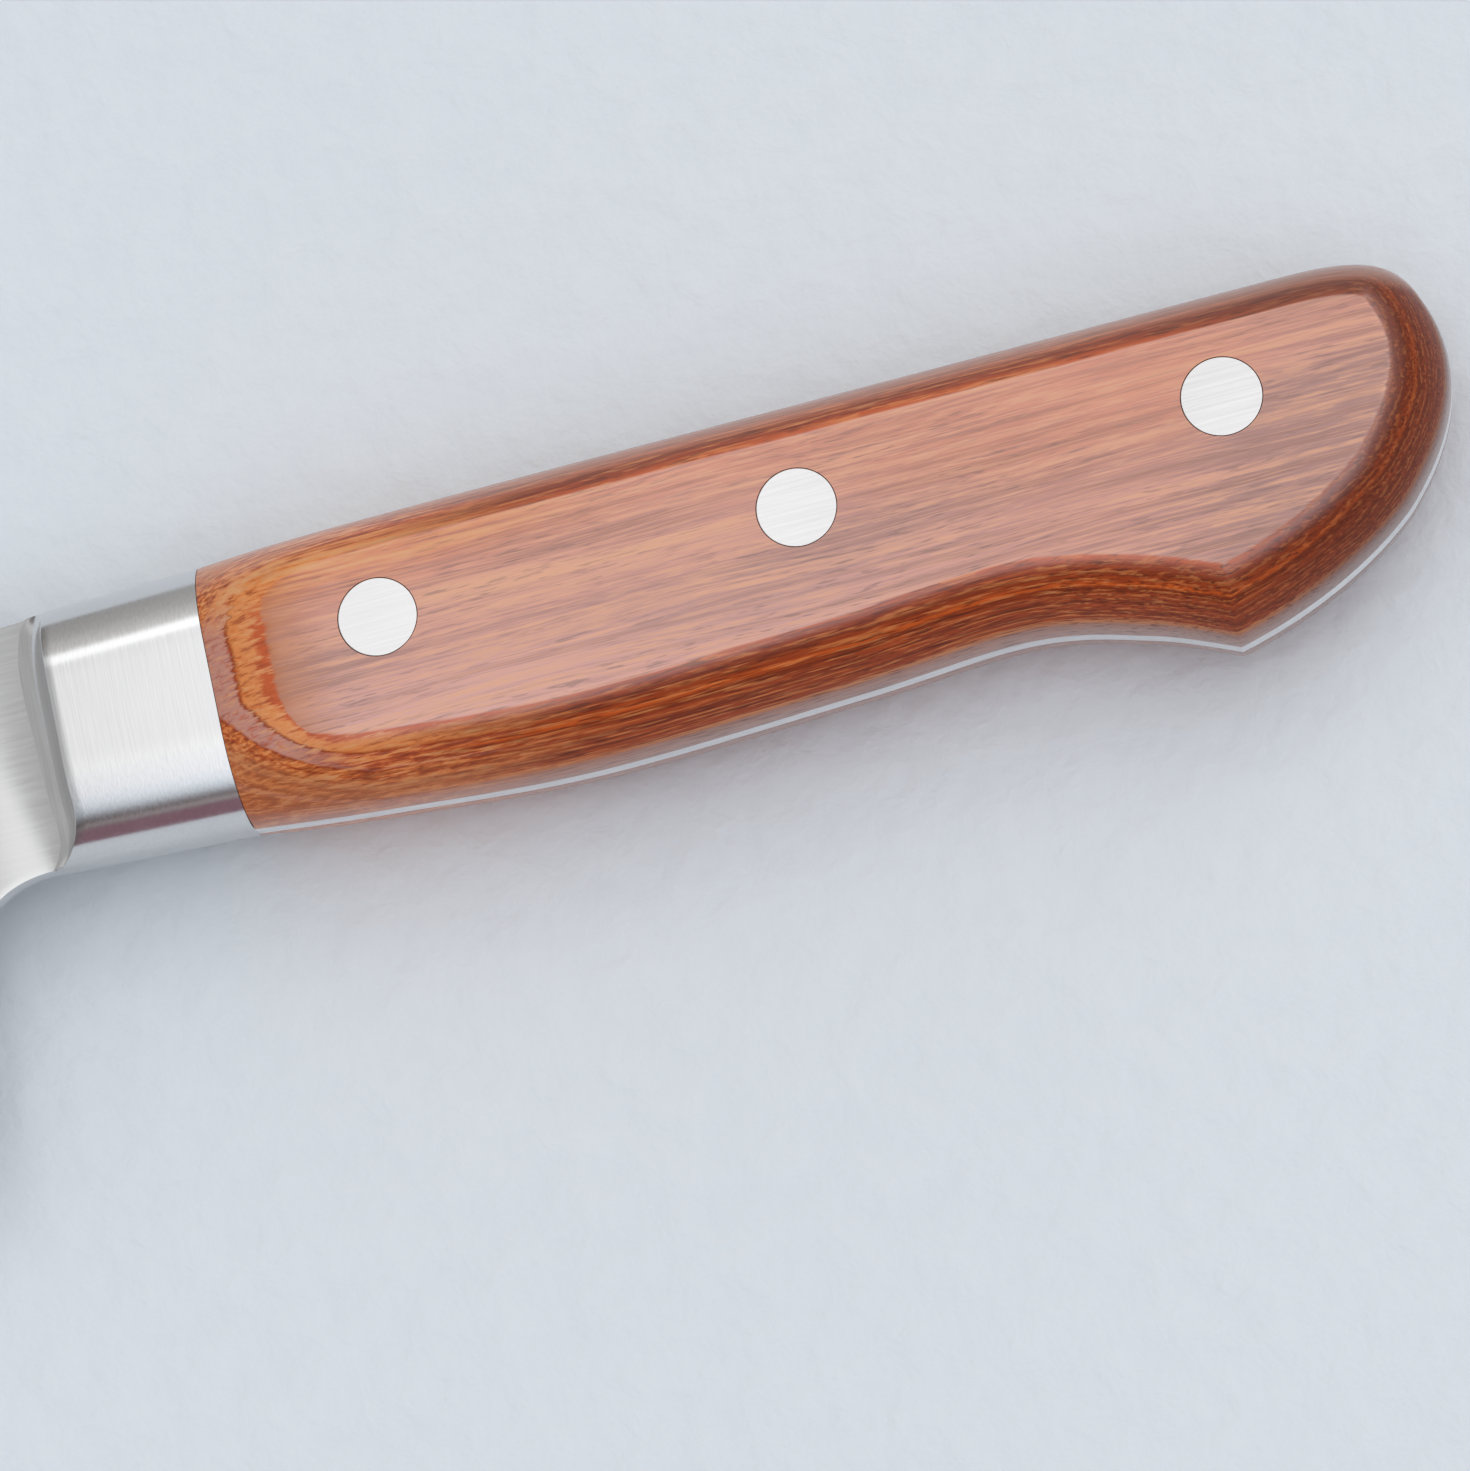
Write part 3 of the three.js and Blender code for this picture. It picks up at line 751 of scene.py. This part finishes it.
def scaleRings():
    gap = handle["seamGap"] / 2
    openRun = outline.copy()
    openRun[:, 0] = np.maximum(openRun[:, 0], gap)
    seamSteps = int((handle["topAtSeam"] + handle["bellyAtSeam"]) / scaleLook["seamStep"])
    seamY = np.linspace(-handle["bellyAtSeam"], handle["topAtSeam"], seamSteps + 1)[1:-1]
    loop = np.vstack([openRun, np.stack([np.full(len(seamY), gap), seamY], 1)])
    focus = np.array([handle["rampLength"], (handle["topAtSeam"] - handle["bellyAtSeam"]) / 2])
    step = np.roll(loop, -1, 0) - np.roll(loop, 1, 0)
    inward = np.stack([step[:, 1], -step[:, 0]], 1)
    toFocus = loop[:, 0] < focus[0]
    inward[toFocus] = focus - loop[toFocus]
    inward /= np.hypot(*inward.T)[:, None]
    flatEdge = loop + inward * reachOf(loop, inward, flatHeight)
    level = loop + inward * reachOf(loop, inward, flatHeight + handle["flatEase"])
    beak, reach = np.argmin(loop[:, 1]), scaleLook["beakSpan"]
    span = np.arange(beak - reach, beak + reach + 1)  # the rings close on the beak's crease and never cross
    away = np.abs(span - beak)[:, None] / reach
    for edge in (flatEdge, level):
        ends = np.where(span[:, None] < beak, edge[beak - reach], edge[beak + reach])
        edge[span] = mix(edge[beak], ends, away)
    flats = []
    for k in range(scaleLook["rings"] + 1):
        share = (1 - math.cos(roundAngle * k / scaleLook["rings"])) / (1 - math.cos(roundAngle))
        flats.append(mix(loop, flatEdge, share))
    flats += [mix(flatEdge, level, (k + 1) / scaleLook["easeRings"]) for k in range(scaleLook["easeRings"])]
    rings = [np.column_stack([ring, sideHeight(ring)]) for ring in flats]
    rings[0][loop[:, 0] > gap * 2, 2] = steelHalf
    rings[-1][:, 2] = flatHeight
    return rings


def reachOf(loop, inward, height):  # how far in from the outline the rounding gets to this height
    outside, inside = np.zeros(len(loop)), np.full(len(loop), handle["roundReach"] * scaleLook["searchReach"])
    for _ in range(scaleLook["searchSteps"]):
        middle = (outside + inside) / 2
        reached = roundedHeight(loop + inward * middle[:, None]) >= height
        inside = np.where(reached, middle, inside)
        outside = np.where(reached, outside, middle)
    return inside[:, None]


def makeScale(name, side):
    rings = scaleRings()
    loopLength = len(rings[0])
    base = rings[0].copy()
    base[:, 2] = steelHalf
    corners = np.vstack([base, *rings])
    faces = ringFaces(len(rings) + 1, loopLength)
    headRadius = rivets["head"] / 2 + rivets["clearance"]
    shankRadius = rivets["tube"] / 2 + rivets["clearance"]
    parts = [(corners, faces)]
    for loop, radius, level in ((rings[-1], headRadius, flatHeight), (base, shankRadius, steelHalf)):
        flat, triangles = filledFlat([loop[:, :2], *[circleAt(x, radius) for x in rivetPlaces]])
        parts.append((atHeight(flat, level), triangles))
    shelf = flatHeight - rivets["headDepth"]
    for x in rivetPlaces:
        wall = [(headRadius, flatHeight), (headRadius, shelf), (shankRadius, shelf), (shankRadius, steelHalf)]
        rows = [atHeight(circleAt(x, r), z) for r, z in wall]
        parts.append((np.vstack(rows), ringFaces(len(wall), rivets["steps"])))
    allCorners, allFaces = [], []
    for partCorners, partFaces in parts:
        start = sum(len(c) for c in allCorners)
        allCorners.append(partCorners)
        allFaces += [tuple(start + i for i in f) for f in partFaces]
    allCorners = np.vstack(allCorners) * np.array([1, 1, side])
    return pieceFrom(name, allCorners, allFaces, finishes["wood"], scaleLook["crease"])


leftScale = makeScale("handleScaleLeft", 1)
rightScale = makeScale("handleScaleRight", -1)
print("scales made:", len(leftScale.data.polygons), "faces each")


# bolster, both halves as one welded collar round the tang

bolsterLook = {
    "sectionSteps": 64,
    "bodySteps": 16,
    "roundSteps": 5,
    "coveSteps": 22,
    "frontSweep": 3.4,
    "frontSweepHeight": 4.2,
    "coveTuck": 0.25,
    "coveRim": 0.15,
    "frontRound": 0.1,  # the front edge is eased by this much, or by a share of its height
    "roundShare": 0.4,
    "crowding": 0.85,  # the section's steps close up towards the back and the belly
    "crease": 24.0,
    "sink": 0.01,  # the cove runs out just below the blade's face
    "tailRise": 0.6,
    "tailLength": (4.5, 11.5),  # at the belly and at the spine
}


def tailHeight(x, share):  # the cove's last run-out over the blade's face
    b = bolsterLook
    length = mix(*reversed(b["tailLength"]), share)
    return steelHalf + b["tailRise"] * (1 - np.clip((bolsterFront - x) / length, 0, 1)) ** 2


def frontEdge(y):
    b = bolsterLook
    below = np.clip((bolsterBelly(bolsterFront) + b["frontSweepHeight"] - y) / b["frontSweepHeight"], 0, 1)
    return bolsterFront - b["frontSweep"] * (1 - np.sqrt(1 - below**2))


def bolsterColumns():
    b = bolsterLook
    t = np.linspace(0, 1, b["sectionSteps"] + 1)
    shares = mix(t, (1 - np.cos(math.pi * t)) / 2, b["crowding"])
    front = frontEdge(mix(handle["topAtBolster"], -handle["bellyAtBolster"], shares))
    columns = []
    for i in range(b["bodySteps"] + 1):
        along = i / b["bodySteps"]
        y = mix(bolsterTop(bolsterFront * along), bolsterBelly(bolsterFront * along), shares)
        x = front * along
        z = sideHeight(np.column_stack([np.full(len(y), bolsterFront * along), y]))
        z[[0, -1]] = steelHalf
        columns.append(np.column_stack([x - handle["seamGap"] / 2 * (i == 0), y, z]))
    x, y, z = columns[-1].T.copy()
    soft = np.minimum(b["frontRound"], (z - steelHalf) * b["roundShare"])
    columns[-1][:, 0] += soft
    for i in range(1, b["roundSteps"] + 1):
        turn = math.pi / 2 * i / b["roundSteps"]
        columns.append(np.column_stack([x + soft * (1 - math.sin(turn)), y, z - soft * (1 - math.cos(turn))]))
    y[0] -= b["sink"]
    y[-1] += b["sink"]
    tall = np.clip((z - steelHalf) / (handle["bolsterThickness"] / 2 - steelHalf), 0, 1)
    reach = blade["coveLength"] - b["frontSweep"] * b["coveTuck"] * shares**2 * (3 - 2 * shares)
    reach = reach * mix(b["coveRim"], 1, np.sqrt(tall))
    for i in range(1, b["coveSteps"] + 1):
        turn = math.pi / 2 * i / b["coveSteps"]
        past = x - reach * (1 - math.cos(turn))
        foot = np.minimum(tailHeight(past, shares) - b["sink"], z - soft)
        columns.append(np.column_stack([past, y, mix(foot, z - soft, 1 - math.sin(turn))]))
    return columns


def makeBolster(name):
    loops = [np.vstack([c, c[::-1] * np.array([1, 1, -1])]) for c in bolsterColumns()]
    size = len(loops[0])
    faces = ringFaces(len(loops), size)
    for start in (0, (len(loops) - 1) * size):  # shut against the scales and where the cove runs out
        last = start + size - 1
        faces += [(start + i, start + i + 1, last - 1 - i, last - i) for i in range(size // 2 - 1)]
    return pieceFrom(name, np.vstack(loops), faces, finishes["bolsterSteel"], bolsterLook["crease"])


bolster = makeBolster("bolsterCollar")
print("bolster made:", len(bolster.data.polygons), "faces")


# blade, a grid shaped by its rules in geometry nodes

bladeNodes = {
    "alongSteps": 241,
    "acrossSteps": 81,
    "neckShare": 0.08,  # shares of the grid given to the neck, the choil, the spine and the bevel
    "choilShare": 0.22,
    "spineShare": 0.1,
    "bevelShare": 0.1,
    "spineCrown": 0.2,  # heights of the rounded spine and choil, and how round they are
    "spineRound": 2.5,
    "choilCrown": 0.12,
    "choilRound": 4.0,
    "choilPull": (0.8, 0.98),  # along the choil's curve, then down it
    "choilTurn": 0.3,
    "crownMost": 0.3,  # shares of the height that the crown and the bevel take at most
    "bevelMost": 0.5,
    "crowding": 0.9,  # columns close up towards the tip
    "underBolster": 0.3,
    "weld": 1e-6,
    "crease": 8.0,
}


def gridTree(name, inputs):
    tree = bpy.data.node_groups.new(name, "GeometryNodeTree")
    tree.is_modifier = True
    for label, kind, value in inputs:
        socket = tree.interface.new_socket(label, in_out="INPUT", socket_type=kind)
        if value is not None:
            socket.default_value = value
    tree.interface.new_socket("Geometry", in_out="OUTPUT", socket_type="NodeSocketGeometry")
    return tree, tree.nodes.new("NodeGroupInput"), tree.nodes.new("NodeGroupOutput")


def shapedGrid(tree, grid, axes, weld):  # its points moved to these places, and welded where they meet
    place = addNode(tree, "ShaderNodeCombineXYZ", {key: (wire * mm).socket for key, wire in zip("XYZ", axes)})
    values = {"Geometry": grid.outputs["Mesh"], "Position": place.outputs[0]}
    moved = addNode(tree, "GeometryNodeSetPosition", values)
    values = {"Geometry": moved.outputs[0], "Distance": weld}
    return addNode(tree, "GeometryNodeMergeByDistance", values).outputs[0]


def endTree(tree, geometry, given, result):
    real = addNode(tree, "GeometryNodeRealizeInstances", {"Geometry": geometry})
    values = {"Geometry": real.outputs[0], "Material": given.outputs["finish"]}
    painted = addNode(tree, "GeometryNodeSetMaterial", values)
    tree.links.new(painted.outputs[0], result.inputs[0])


def meshFromTree(name, tree, settings, crease):
    carrier = addObject(name + "Carrier", bpy.data.meshes.new(name + "Carrier"))
    modifier = carrier.modifiers.new("make", "NODES")
    modifier.node_group = tree
    for item in tree.interface.items_tree:
        if item.item_type == "SOCKET" and item.in_out == "INPUT" and item.name in settings:
            modifier[item.identifier] = settings[item.name]
    depsgraph = bpy.context.evaluated_depsgraph_get()
    made = bpy.data.meshes.new_from_object(carrier.evaluated_get(depsgraph), depsgraph=depsgraph)
    bpy.data.objects.remove(carrier)
    made.name = name
    cleanMesh(made, crease, fill=True)
    return addObject(name, made)


def bezierWire(t, a, b, c, d):
    u = 1.0 - t
    return u * u * u * a + t * u * u * (3.0 * b) + t * t * u * (3.0 * c) + t * t * t * d


def makeBladeTree():
    n = bladeNodes
    inputs = [(key, "NodeSocketFloat", value) for key, value in blade.items()]
    inputs += [(key, "NodeSocketInt", n[key]) for key in ("alongSteps", "acrossSteps")]
    inputs += [("finish", "NodeSocketMaterial", None)]
    tree, given, result = gridTree("gyutoBlade", inputs)
    size = {key: Wire(tree, given.outputs[key]) for key in blade}
    counts = {"Vertices X": given.outputs["alongSteps"], "Vertices Y": given.outputs["acrossSteps"]}
    grid = addNode(tree, "GeometryNodeMeshGrid", {"Size X": 1.0, "Size Y": 1.0, **counts})
    position = addNode(tree, "GeometryNodeInputPosition").outputs[0]
    spot = addNode(tree, "ShaderNodeSeparateXYZ", {"Vector": position})
    s = Wire(tree, spot.outputs["X"]) + 0.5  # 0 at the neck, 1 at the tip
    v = Wire(tree, spot.outputs["Y"]) * 2.0  # once round the section, -1 and 1 on the spine, 0 on the edge

    # where the column stands, and how high its spine and its lower edge are
    heelX = bolsterFront - size["heelSetback"]
    tipX = heelX - size["length"]
    neckX = bolsterFront - size["coveLength"]
    bellyY = bolsterBelly(bolsterFront)
    lowY = handle["topAtBolster"] - size["height"]
    inChoil = s.below(n["choilShare"])
    atNeck = s.below(n["neckShare"])
    neckRun = (s / n["neckShare"]).clamped()
    t = ((s - n["neckShare"]) / (n["choilShare"] - n["neckShare"])).clamped()
    pulls = [neckX + (heelX - neckX) * pull for pull in n["choilPull"]]
    choilX = bezierWire(t, neckX, *pulls, heelX)
    choilY = bezierWire(t, bellyY, bellyY - size["choilDip"], bellyY + (lowY - bellyY) * n["choilTurn"], lowY)
    along = ((s - n["choilShare"]) / (1 - n["choilShare"])).clamped()
    hidden = bolsterFront + n["underBolster"]
    lowX = atNeck * (hidden + (neckX - hidden) * neckRun) + (1.0 - atNeck) * choilX
    x = inChoil * lowX + (1.0 - inChoil) * (heelX + (tipX - heelX) * along ** n["crowding"])
    run = (bolsterFront - x) / (bolsterFront - tipX)
    spineY = handle["topAtBolster"] - size["spineFall"] * run
    spineY = spineY - size["spineDrop"] * run.clamped() ** size["spinePower"]
    tipY = handle["topAtBolster"] - size["spineFall"] - size["spineDrop"]
    toTip = ((heelX - x) / size["length"]).clamped()
    edgeY = lowY + (tipY - size["tipLand"] - lowY) * toTip ** size["edgePower"]
    lowerY = inChoil * choilY + (1.0 - inChoil) * edgeY
    upperY = spineY.most(lowerY + size["tipLand"])

    # down the section: the crowned spine, the face, then the bevel or the crowned choil
    side = v.math("ABSOLUTE")
    overSpine = ((side - (1 - n["spineShare"])) / n["spineShare"]).clamped()
    downFace = ((1 - n["spineShare"] - side) / (1 - n["spineShare"] - n["bevelShare"])).clamped()
    downBevel = ((n["bevelShare"] - side) / n["bevelShare"]).clamped()
    tall = upperY - lowerY
    crown = (tall * n["crownMost"]).least(n["spineCrown"])
    bevelUp = (tall * n["bevelMost"]).least(size["bevelHeight"])
    bevelTop = lowerY + inChoil * n["choilCrown"] + (1.0 - inChoil) * bevelUp
    faceTop = upperY - crown
    y = faceTop + (bevelTop - faceTop) * downFace + (lowerY - bevelTop) * downBevel
    y = y + crown * (1.0 - (1.0 - overSpine) ** n["spineRound"])

    # half the thickness: a slightly convex wedge that thins to the tip
    atSpine = steelHalf + (size["tipThickness"] * 0.5 - steelHalf) * toTip
    bevelRise = size["bevelHeight"] * (1.0 - toTip ** size["tipFade"])
    share = ((spineY - y) / (spineY - edgeY - bevelRise)).clamped()
    wedge = atSpine + (size["shoulderThickness"] * 0.5 - atSpine) * share ** size["faceBulge"]
    bevel = ((y - edgeY) / size["bevelHeight"]).clamped()
    ground = size["edgeThickness"] * 0.5 + (wedge - size["edgeThickness"] * 0.5) * bevel
    grind = ((bolsterFront - size["grindStart"] - x) / size["grindBlend"]).between(0.0, 1.0)
    down = ((handle["topAtBolster"] - y) / (handle["topAtBolster"] + handle["bellyAtBolster"])).clamped()
    tailLength = mix(*reversed(bolsterLook["tailLength"]), down)
    tail = (1.0 - ((bolsterFront - x) / tailLength).clamped()) ** 2.0 * bolsterLook["tailRise"]
    half = steelHalf + (ground - steelHalf) * grind + tail * (1.0 - overSpine) * (1.0 - downBevel)
    choilRound = 1.0 - inChoil * downBevel ** n["choilRound"]
    z = half * v.math("SIGN") * (1.0 - overSpine) * choilRound

    joined = shapedGrid(tree, grid, [wire + float(way) for wire, way in zip((x, y, z), shift)], n["weld"])
    endTree(tree, joined, given, result)
    return tree


bladeSettings = {**blade, "finish": finishes["bladeSteel"]}
bladePiece = meshFromTree("blade", makeBladeTree(), bladeSettings, bladeNodes["crease"])
print("blade made:", len(bladePiece.data.polygons), "faces")


# tang, flat stock inside the handle, its edge showing all round

tangLook = {"edgeRound": 0.08, "underBolster": 0.2, "seamSetback": 0.4, "crease": 30.0}


def makeTang(name):
    inset, hidden = tangLook["edgeRound"], tangLook["underBolster"]
    step = np.gradient(outline, axis=0)
    inward = np.stack([step[:, 1], -step[:, 0]], 1) / np.hypot(*step.T)[:, None]
    top, belly = handle["topAtBolster"], -handle["bellyAtBolster"]
    behind = -tangLook["seamSetback"]
    over = [(bolsterFront, top - hidden), (behind, bolsterTop(behind) - hidden)]
    under = [(behind, bolsterBelly(behind) + hidden), (bolsterFront, belly + hidden)]
    loop = np.vstack([over, outline, under])
    held = np.vstack([over, outline + inward * inset, under])
    corners = [atHeight(held, steelHalf), atHeight(loop, steelHalf - inset),
               atHeight(loop, inset - steelHalf), atHeight(held, -steelHalf)]
    faces = ringFaces(len(corners), len(loop))
    radius = rivets["tube"] / 2 + rivets["clearance"]
    start = len(corners) * len(loop)
    for level in (steelHalf, -steelHalf):
        flat, triangles = filledFlat([held, *[circleAt(x, radius) for x in rivetPlaces]])
        corners.append(atHeight(flat, level))
        faces += [tuple(start + i for i in f) for f in triangles]
        start += len(flat)
    for x in rivetPlaces:
        corners += [atHeight(circleAt(x, radius), z) for z in (steelHalf, -steelHalf)]
        faces += ringFaces(2, rivets["steps"], start)
        start += 2 * rivets["steps"]
    return pieceFrom(name, np.vstack(corners), faces, finishes["tangSteel"], tangLook["crease"])


tang = makeTang("tang")
print("tang made:", len(tang.data.polygons), "faces")


# rivets, one row of tubes from the left and one of pins from the right


def makeRivetTree(name, profile):
    inputs = [("count", "NodeSocketInt", rivets["count"]), ("pitch", "NodeSocketFloat", rivets["pitch"] * mm),
              ("first", "NodeSocketVector", None), ("steps", "NodeSocketInt", rivets["steps"]),
              ("finish", "NodeSocketMaterial", None)]
    tree, given, result = gridTree(name, inputs)
    offset = addNode(tree, "ShaderNodeCombineXYZ", {"X": given.outputs["pitch"]})
    values = {"Count": given.outputs["count"], "Start Location": given.outputs["first"],
              "Offset": offset.outputs[0]}
    line = addNode(tree, "GeometryNodeMeshLine", values)
    grid = addNode(tree, "GeometryNodeMeshGrid", {"Size X": 1.0, "Size Y": 1.0, "Vertices X": len(profile)})
    more = addNode(tree, "ShaderNodeMath", {0: given.outputs["steps"], 1: 1.0}, operation="ADD")
    tree.links.new(more.outputs[0], grid.inputs["Vertices Y"])
    position = addNode(tree, "GeometryNodeInputPosition").outputs[0]
    spot = addNode(tree, "ShaderNodeSeparateXYZ", {"Vector": position})
    row = (Wire(tree, spot.outputs["X"]) + 0.5) * float(len(profile) - 1)
    turn = (Wire(tree, spot.outputs["Y"]) + 0.5) * (2 * math.pi)
    radius = height = 0.0
    for i, (r, z) in enumerate(profile):  # a tent over each row picks its radius and height
        weight = (1.0 - (row - float(i)).math("ABSOLUTE")).most(0.0)
        radius = radius + weight * r
        height = height + weight * z
    turned = shapedGrid(tree, grid, (radius * turn.math("COSINE"), radius * turn.math("SINE"), height),
                        rivets["weld"])
    values = {"Points": line.outputs[0], "Instance": turned}
    copies = addNode(tree, "GeometryNodeInstanceOnPoints", values)
    endTree(tree, copies.outputs[0], given, result)
    return tree


def rivetProfiles():
    r = rivets
    head, soft = r["head"] / 2, r["edgeRound"]
    shelf = flatHeight - r["headDepth"]
    bore = r["pin"] / 2 + r["pinClearance"]
    arc = [(head - soft + soft * math.cos(a), flatHeight - soft + soft * math.sin(a))
           for a in np.linspace(math.pi / 2, 0, r["roundSteps"] + 1)]
    rings = [(radius, flatHeight) for radius in (0.0, head * r["innerRing"], head - soft * r["rimRing"])]
    crown = [*rings, *arc, (head, shelf)]
    tube = [*crown, (r["tube"] / 2, shelf), (r["tube"] / 2, -r["tubeReach"]), (bore, -r["tubeReach"]),
            (bore, r["pinReach"] + r["boreSpare"]), (0.0, r["pinReach"] + r["boreSpare"])]
    pin = [*crown, (r["pin"] / 2, shelf), (r["pin"] / 2, -r["pinReach"]), (0.0, -r["pinReach"])]
    return tube, [(radius, -height) for radius, height in pin]


def makeRivets(name, profile):
    first = tuple((np.array([rivets["first"], 0, 0]) + shift) * mm)
    settings = {"count": rivets["count"], "pitch": rivets["pitch"] * mm, "steps": rivets["steps"],
                "first": first, "finish": finishes["rivetSteel"]}
    return meshFromTree(name, makeRivetTree(name, profile), settings, rivets["crease"])


tubeProfile, pinProfile = rivetProfiles()
rivetTubes = makeRivets("rivetTubes", tubeProfile)
rivetPins = makeRivets("rivetPins", pinProfile)
print("rivets made:", len(rivetTubes.data.polygons), "and", len(rivetPins.data.polygons), "faces")

rivetNames = ("front", "middle", "rear")
standsFor = [
    (leftScale, ["scale_left"], "laminated_wood"),
    (rightScale, ["scale_right"], "laminated_wood"),
    (bolster, ["bolster_left_half", "bolster_right_half"], "bolster_steel"),
    (bladePiece, ["blade_and_tang"], "blade_steel"),
    (tang, ["blade_and_tang"], "blade_steel"),
    (rivetTubes, [f"rivet_{name}_tube" for name in rivetNames], "rivet_steel"),
    (rivetPins, [f"rivet_{name}_pin" for name in rivetNames], "rivet_steel"),
]
for piece, nodes, slot in standsFor:
    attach(piece, "root")
    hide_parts(*nodes)


# floor, light and camera

floorLook = {
    "size": 6.0,
    "pale": (0.822, 0.871, 0.914),
    "shade": (0.792, 0.843, 0.889),
    "mottle": ((230, 230, 230), 4.0, 0.55, 0.2),
    "cloud": ((9, 9, 9), 1.0),
    "mottleShare": 0.5,
    "limits": (0.35, 0.65),
    "rough": 0.9,
    "specular": 0.2,
    "bump": (0.5, 0.001),
}


def makeFloor():
    material, tree, shader = newMaterial("paleFloor")
    coords = addNode(tree, "ShaderNodeTexCoord").outputs["Object"]
    mottle = noiseAt(tree, coords, *floorLook["mottle"])
    cloud = noiseAt(tree, coords, *floorLook["cloud"])
    stops = list(zip(floorLook["limits"], (floorLook["shade"], floorLook["pale"])))
    share = mottle * floorLook["mottleShare"] + cloud * (1 - floorLook["mottleShare"])
    tree.links.new(rampOf(tree, share, stops), shader.inputs["Base Color"])
    shader.inputs["Roughness"].default_value = floorLook["rough"]
    shader.inputs["Specular IOR Level"].default_value = floorLook["specular"]
    tree.links.new(bumpFrom(tree, mottle, *floorLook["bump"]), shader.inputs["Normal"])
    half = floorLook["size"] / 2
    mesh = bpy.data.meshes.new("floor")
    corners = [(-half, -half, 0), (half, -half, 0), (half, half, 0), (-half, half, 0)]
    mesh.from_pydata(corners, [], [(0, 1, 2, 3)])
    mesh.materials.append(material)
    floor = addObject("floor", mesh)


studio = {  # light by the angle from straight up, in degrees
    "strength": 1.097,
    "alongY": [  # from the dark wall on the near side, over the soft boxes, to the far wall
        (-90, (0.3, 0.29, 0.29)), (-63, (0.3, 0.28, 0.28)), (-58, (0.48, 0.42, 0.43)),
        (-53, (0.2, 0.16, 0.16)), (-48, (0.4, 0.4, 0.43)), (-42, (0.8, 0.86, 0.94)),
        (-33, (1.1, 1.16, 1.24)), (-22, (1.2, 1.22, 1.27)), (4, (1.17, 1.17, 1.17)),
        (16, (1.05, 1.05, 1.06)), (24, (1.0, 1.0, 1.01)), (30, (1.0, 1.0, 1.01)),
        (32.5, (1.42, 1.42, 1.42)), (39, (1.42, 1.42, 1.42)), (43, (0.68, 0.67, 0.66)),
        (62, (0.44, 0.43, 0.42)), (90, (0.3, 0.3, 0.3)),
    ],
    "alongX": [  # how much of it is left towards the sides
        (-90, 0.46), (-45, 0.42), (-25, 0.43), (-16.8, 0.48), (-13.4, 0.98), (-12, 1.0), (-9, 1.2),
        (-4, 0.98), (12, 0.85), (20, 1.25), (34, 1.2), (46, 0.5), (90, 0.25),
    ],
    "plum": (0.24, 0.125, 0.16),  # a dark strip low on the near side
    "plumAcross": (-21, -16, -7, -2),  # where it begins, is there in full, fades and ends
    "plumHigh": (-63, -60),
}


def makeStudio():
    world = bpy.data.worlds.new("studio")
    bpy.context.scene.world = world
    world.use_nodes = True
    tree = world.node_tree
    direction = addNode(tree, "ShaderNodeTexCoord").outputs["Generated"]
    axes = addNode(tree, "ShaderNodeSeparateXYZ", {"Vector": direction})
    angles = [Wire(tree, axes.outputs[axis]).math("ARCSINE") for axis in "YX"]
    greys = [(degrees, (share,) * 3) for degrees, share in studio["alongX"]]
    looks = []
    for angle, stops in zip(angles, (studio["alongY"], greys)):
        places = [(degrees / 180 + 0.5, colour) for degrees, colour in stops]
        looks.append(rampOf(tree, angle / math.pi + 0.5, places))
    light = mixColour(tree, 1.0, looks[0], looks[1], "MULTIPLY")
    left, leftEnd, rightEnd, right = (math.radians(a) for a in studio["plumAcross"])
    low, high = (math.radians(a) for a in studio["plumHigh"])
    there = angles[1].between(left, leftEnd) * (1.0 - angles[1].between(rightEnd, right))
    light = mixColour(tree, there * (1.0 - angles[0].between(low, high)), light, studio["plum"])
    tree.links.new(light, tree.nodes["Background"].inputs["Color"])
    tree.nodes["Background"].inputs["Strength"].default_value = studio["strength"]


cameraSpot = {
    "place": (96.0, -154.1, 498.0),  # millimetres in the handle's axes
    "turn": (15.53, 5.86, -14.44),
    "focal": 5978.0,  # in pixels of the photograph
    "frame": 1471.0,
    "sensor": 36.0,
    "clip": (0.01, 50.0),
}


def makeCamera():
    data = bpy.data.cameras.new("camera")
    data.sensor_width = cameraSpot["sensor"]
    data.lens = cameraSpot["sensor"] * cameraSpot["focal"] / cameraSpot["frame"]
    data.clip_start, data.clip_end = cameraSpot["clip"]
    camera = addObject("camera", data)
    turn = Euler([math.radians(a) for a in cameraSpot["turn"]], "ZYX").to_matrix().to_4x4()
    spot = (np.array(cameraSpot["place"]) + shift) * mm
    camera.matrix_world = Matrix.Translation(Vector(spot)) @ turn
    bpy.context.scene.camera = camera


makeFloor()
makeStudio()
makeCamera()
bpy.context.scene.view_settings.view_transform = "Standard"
print("floor, light and camera made")
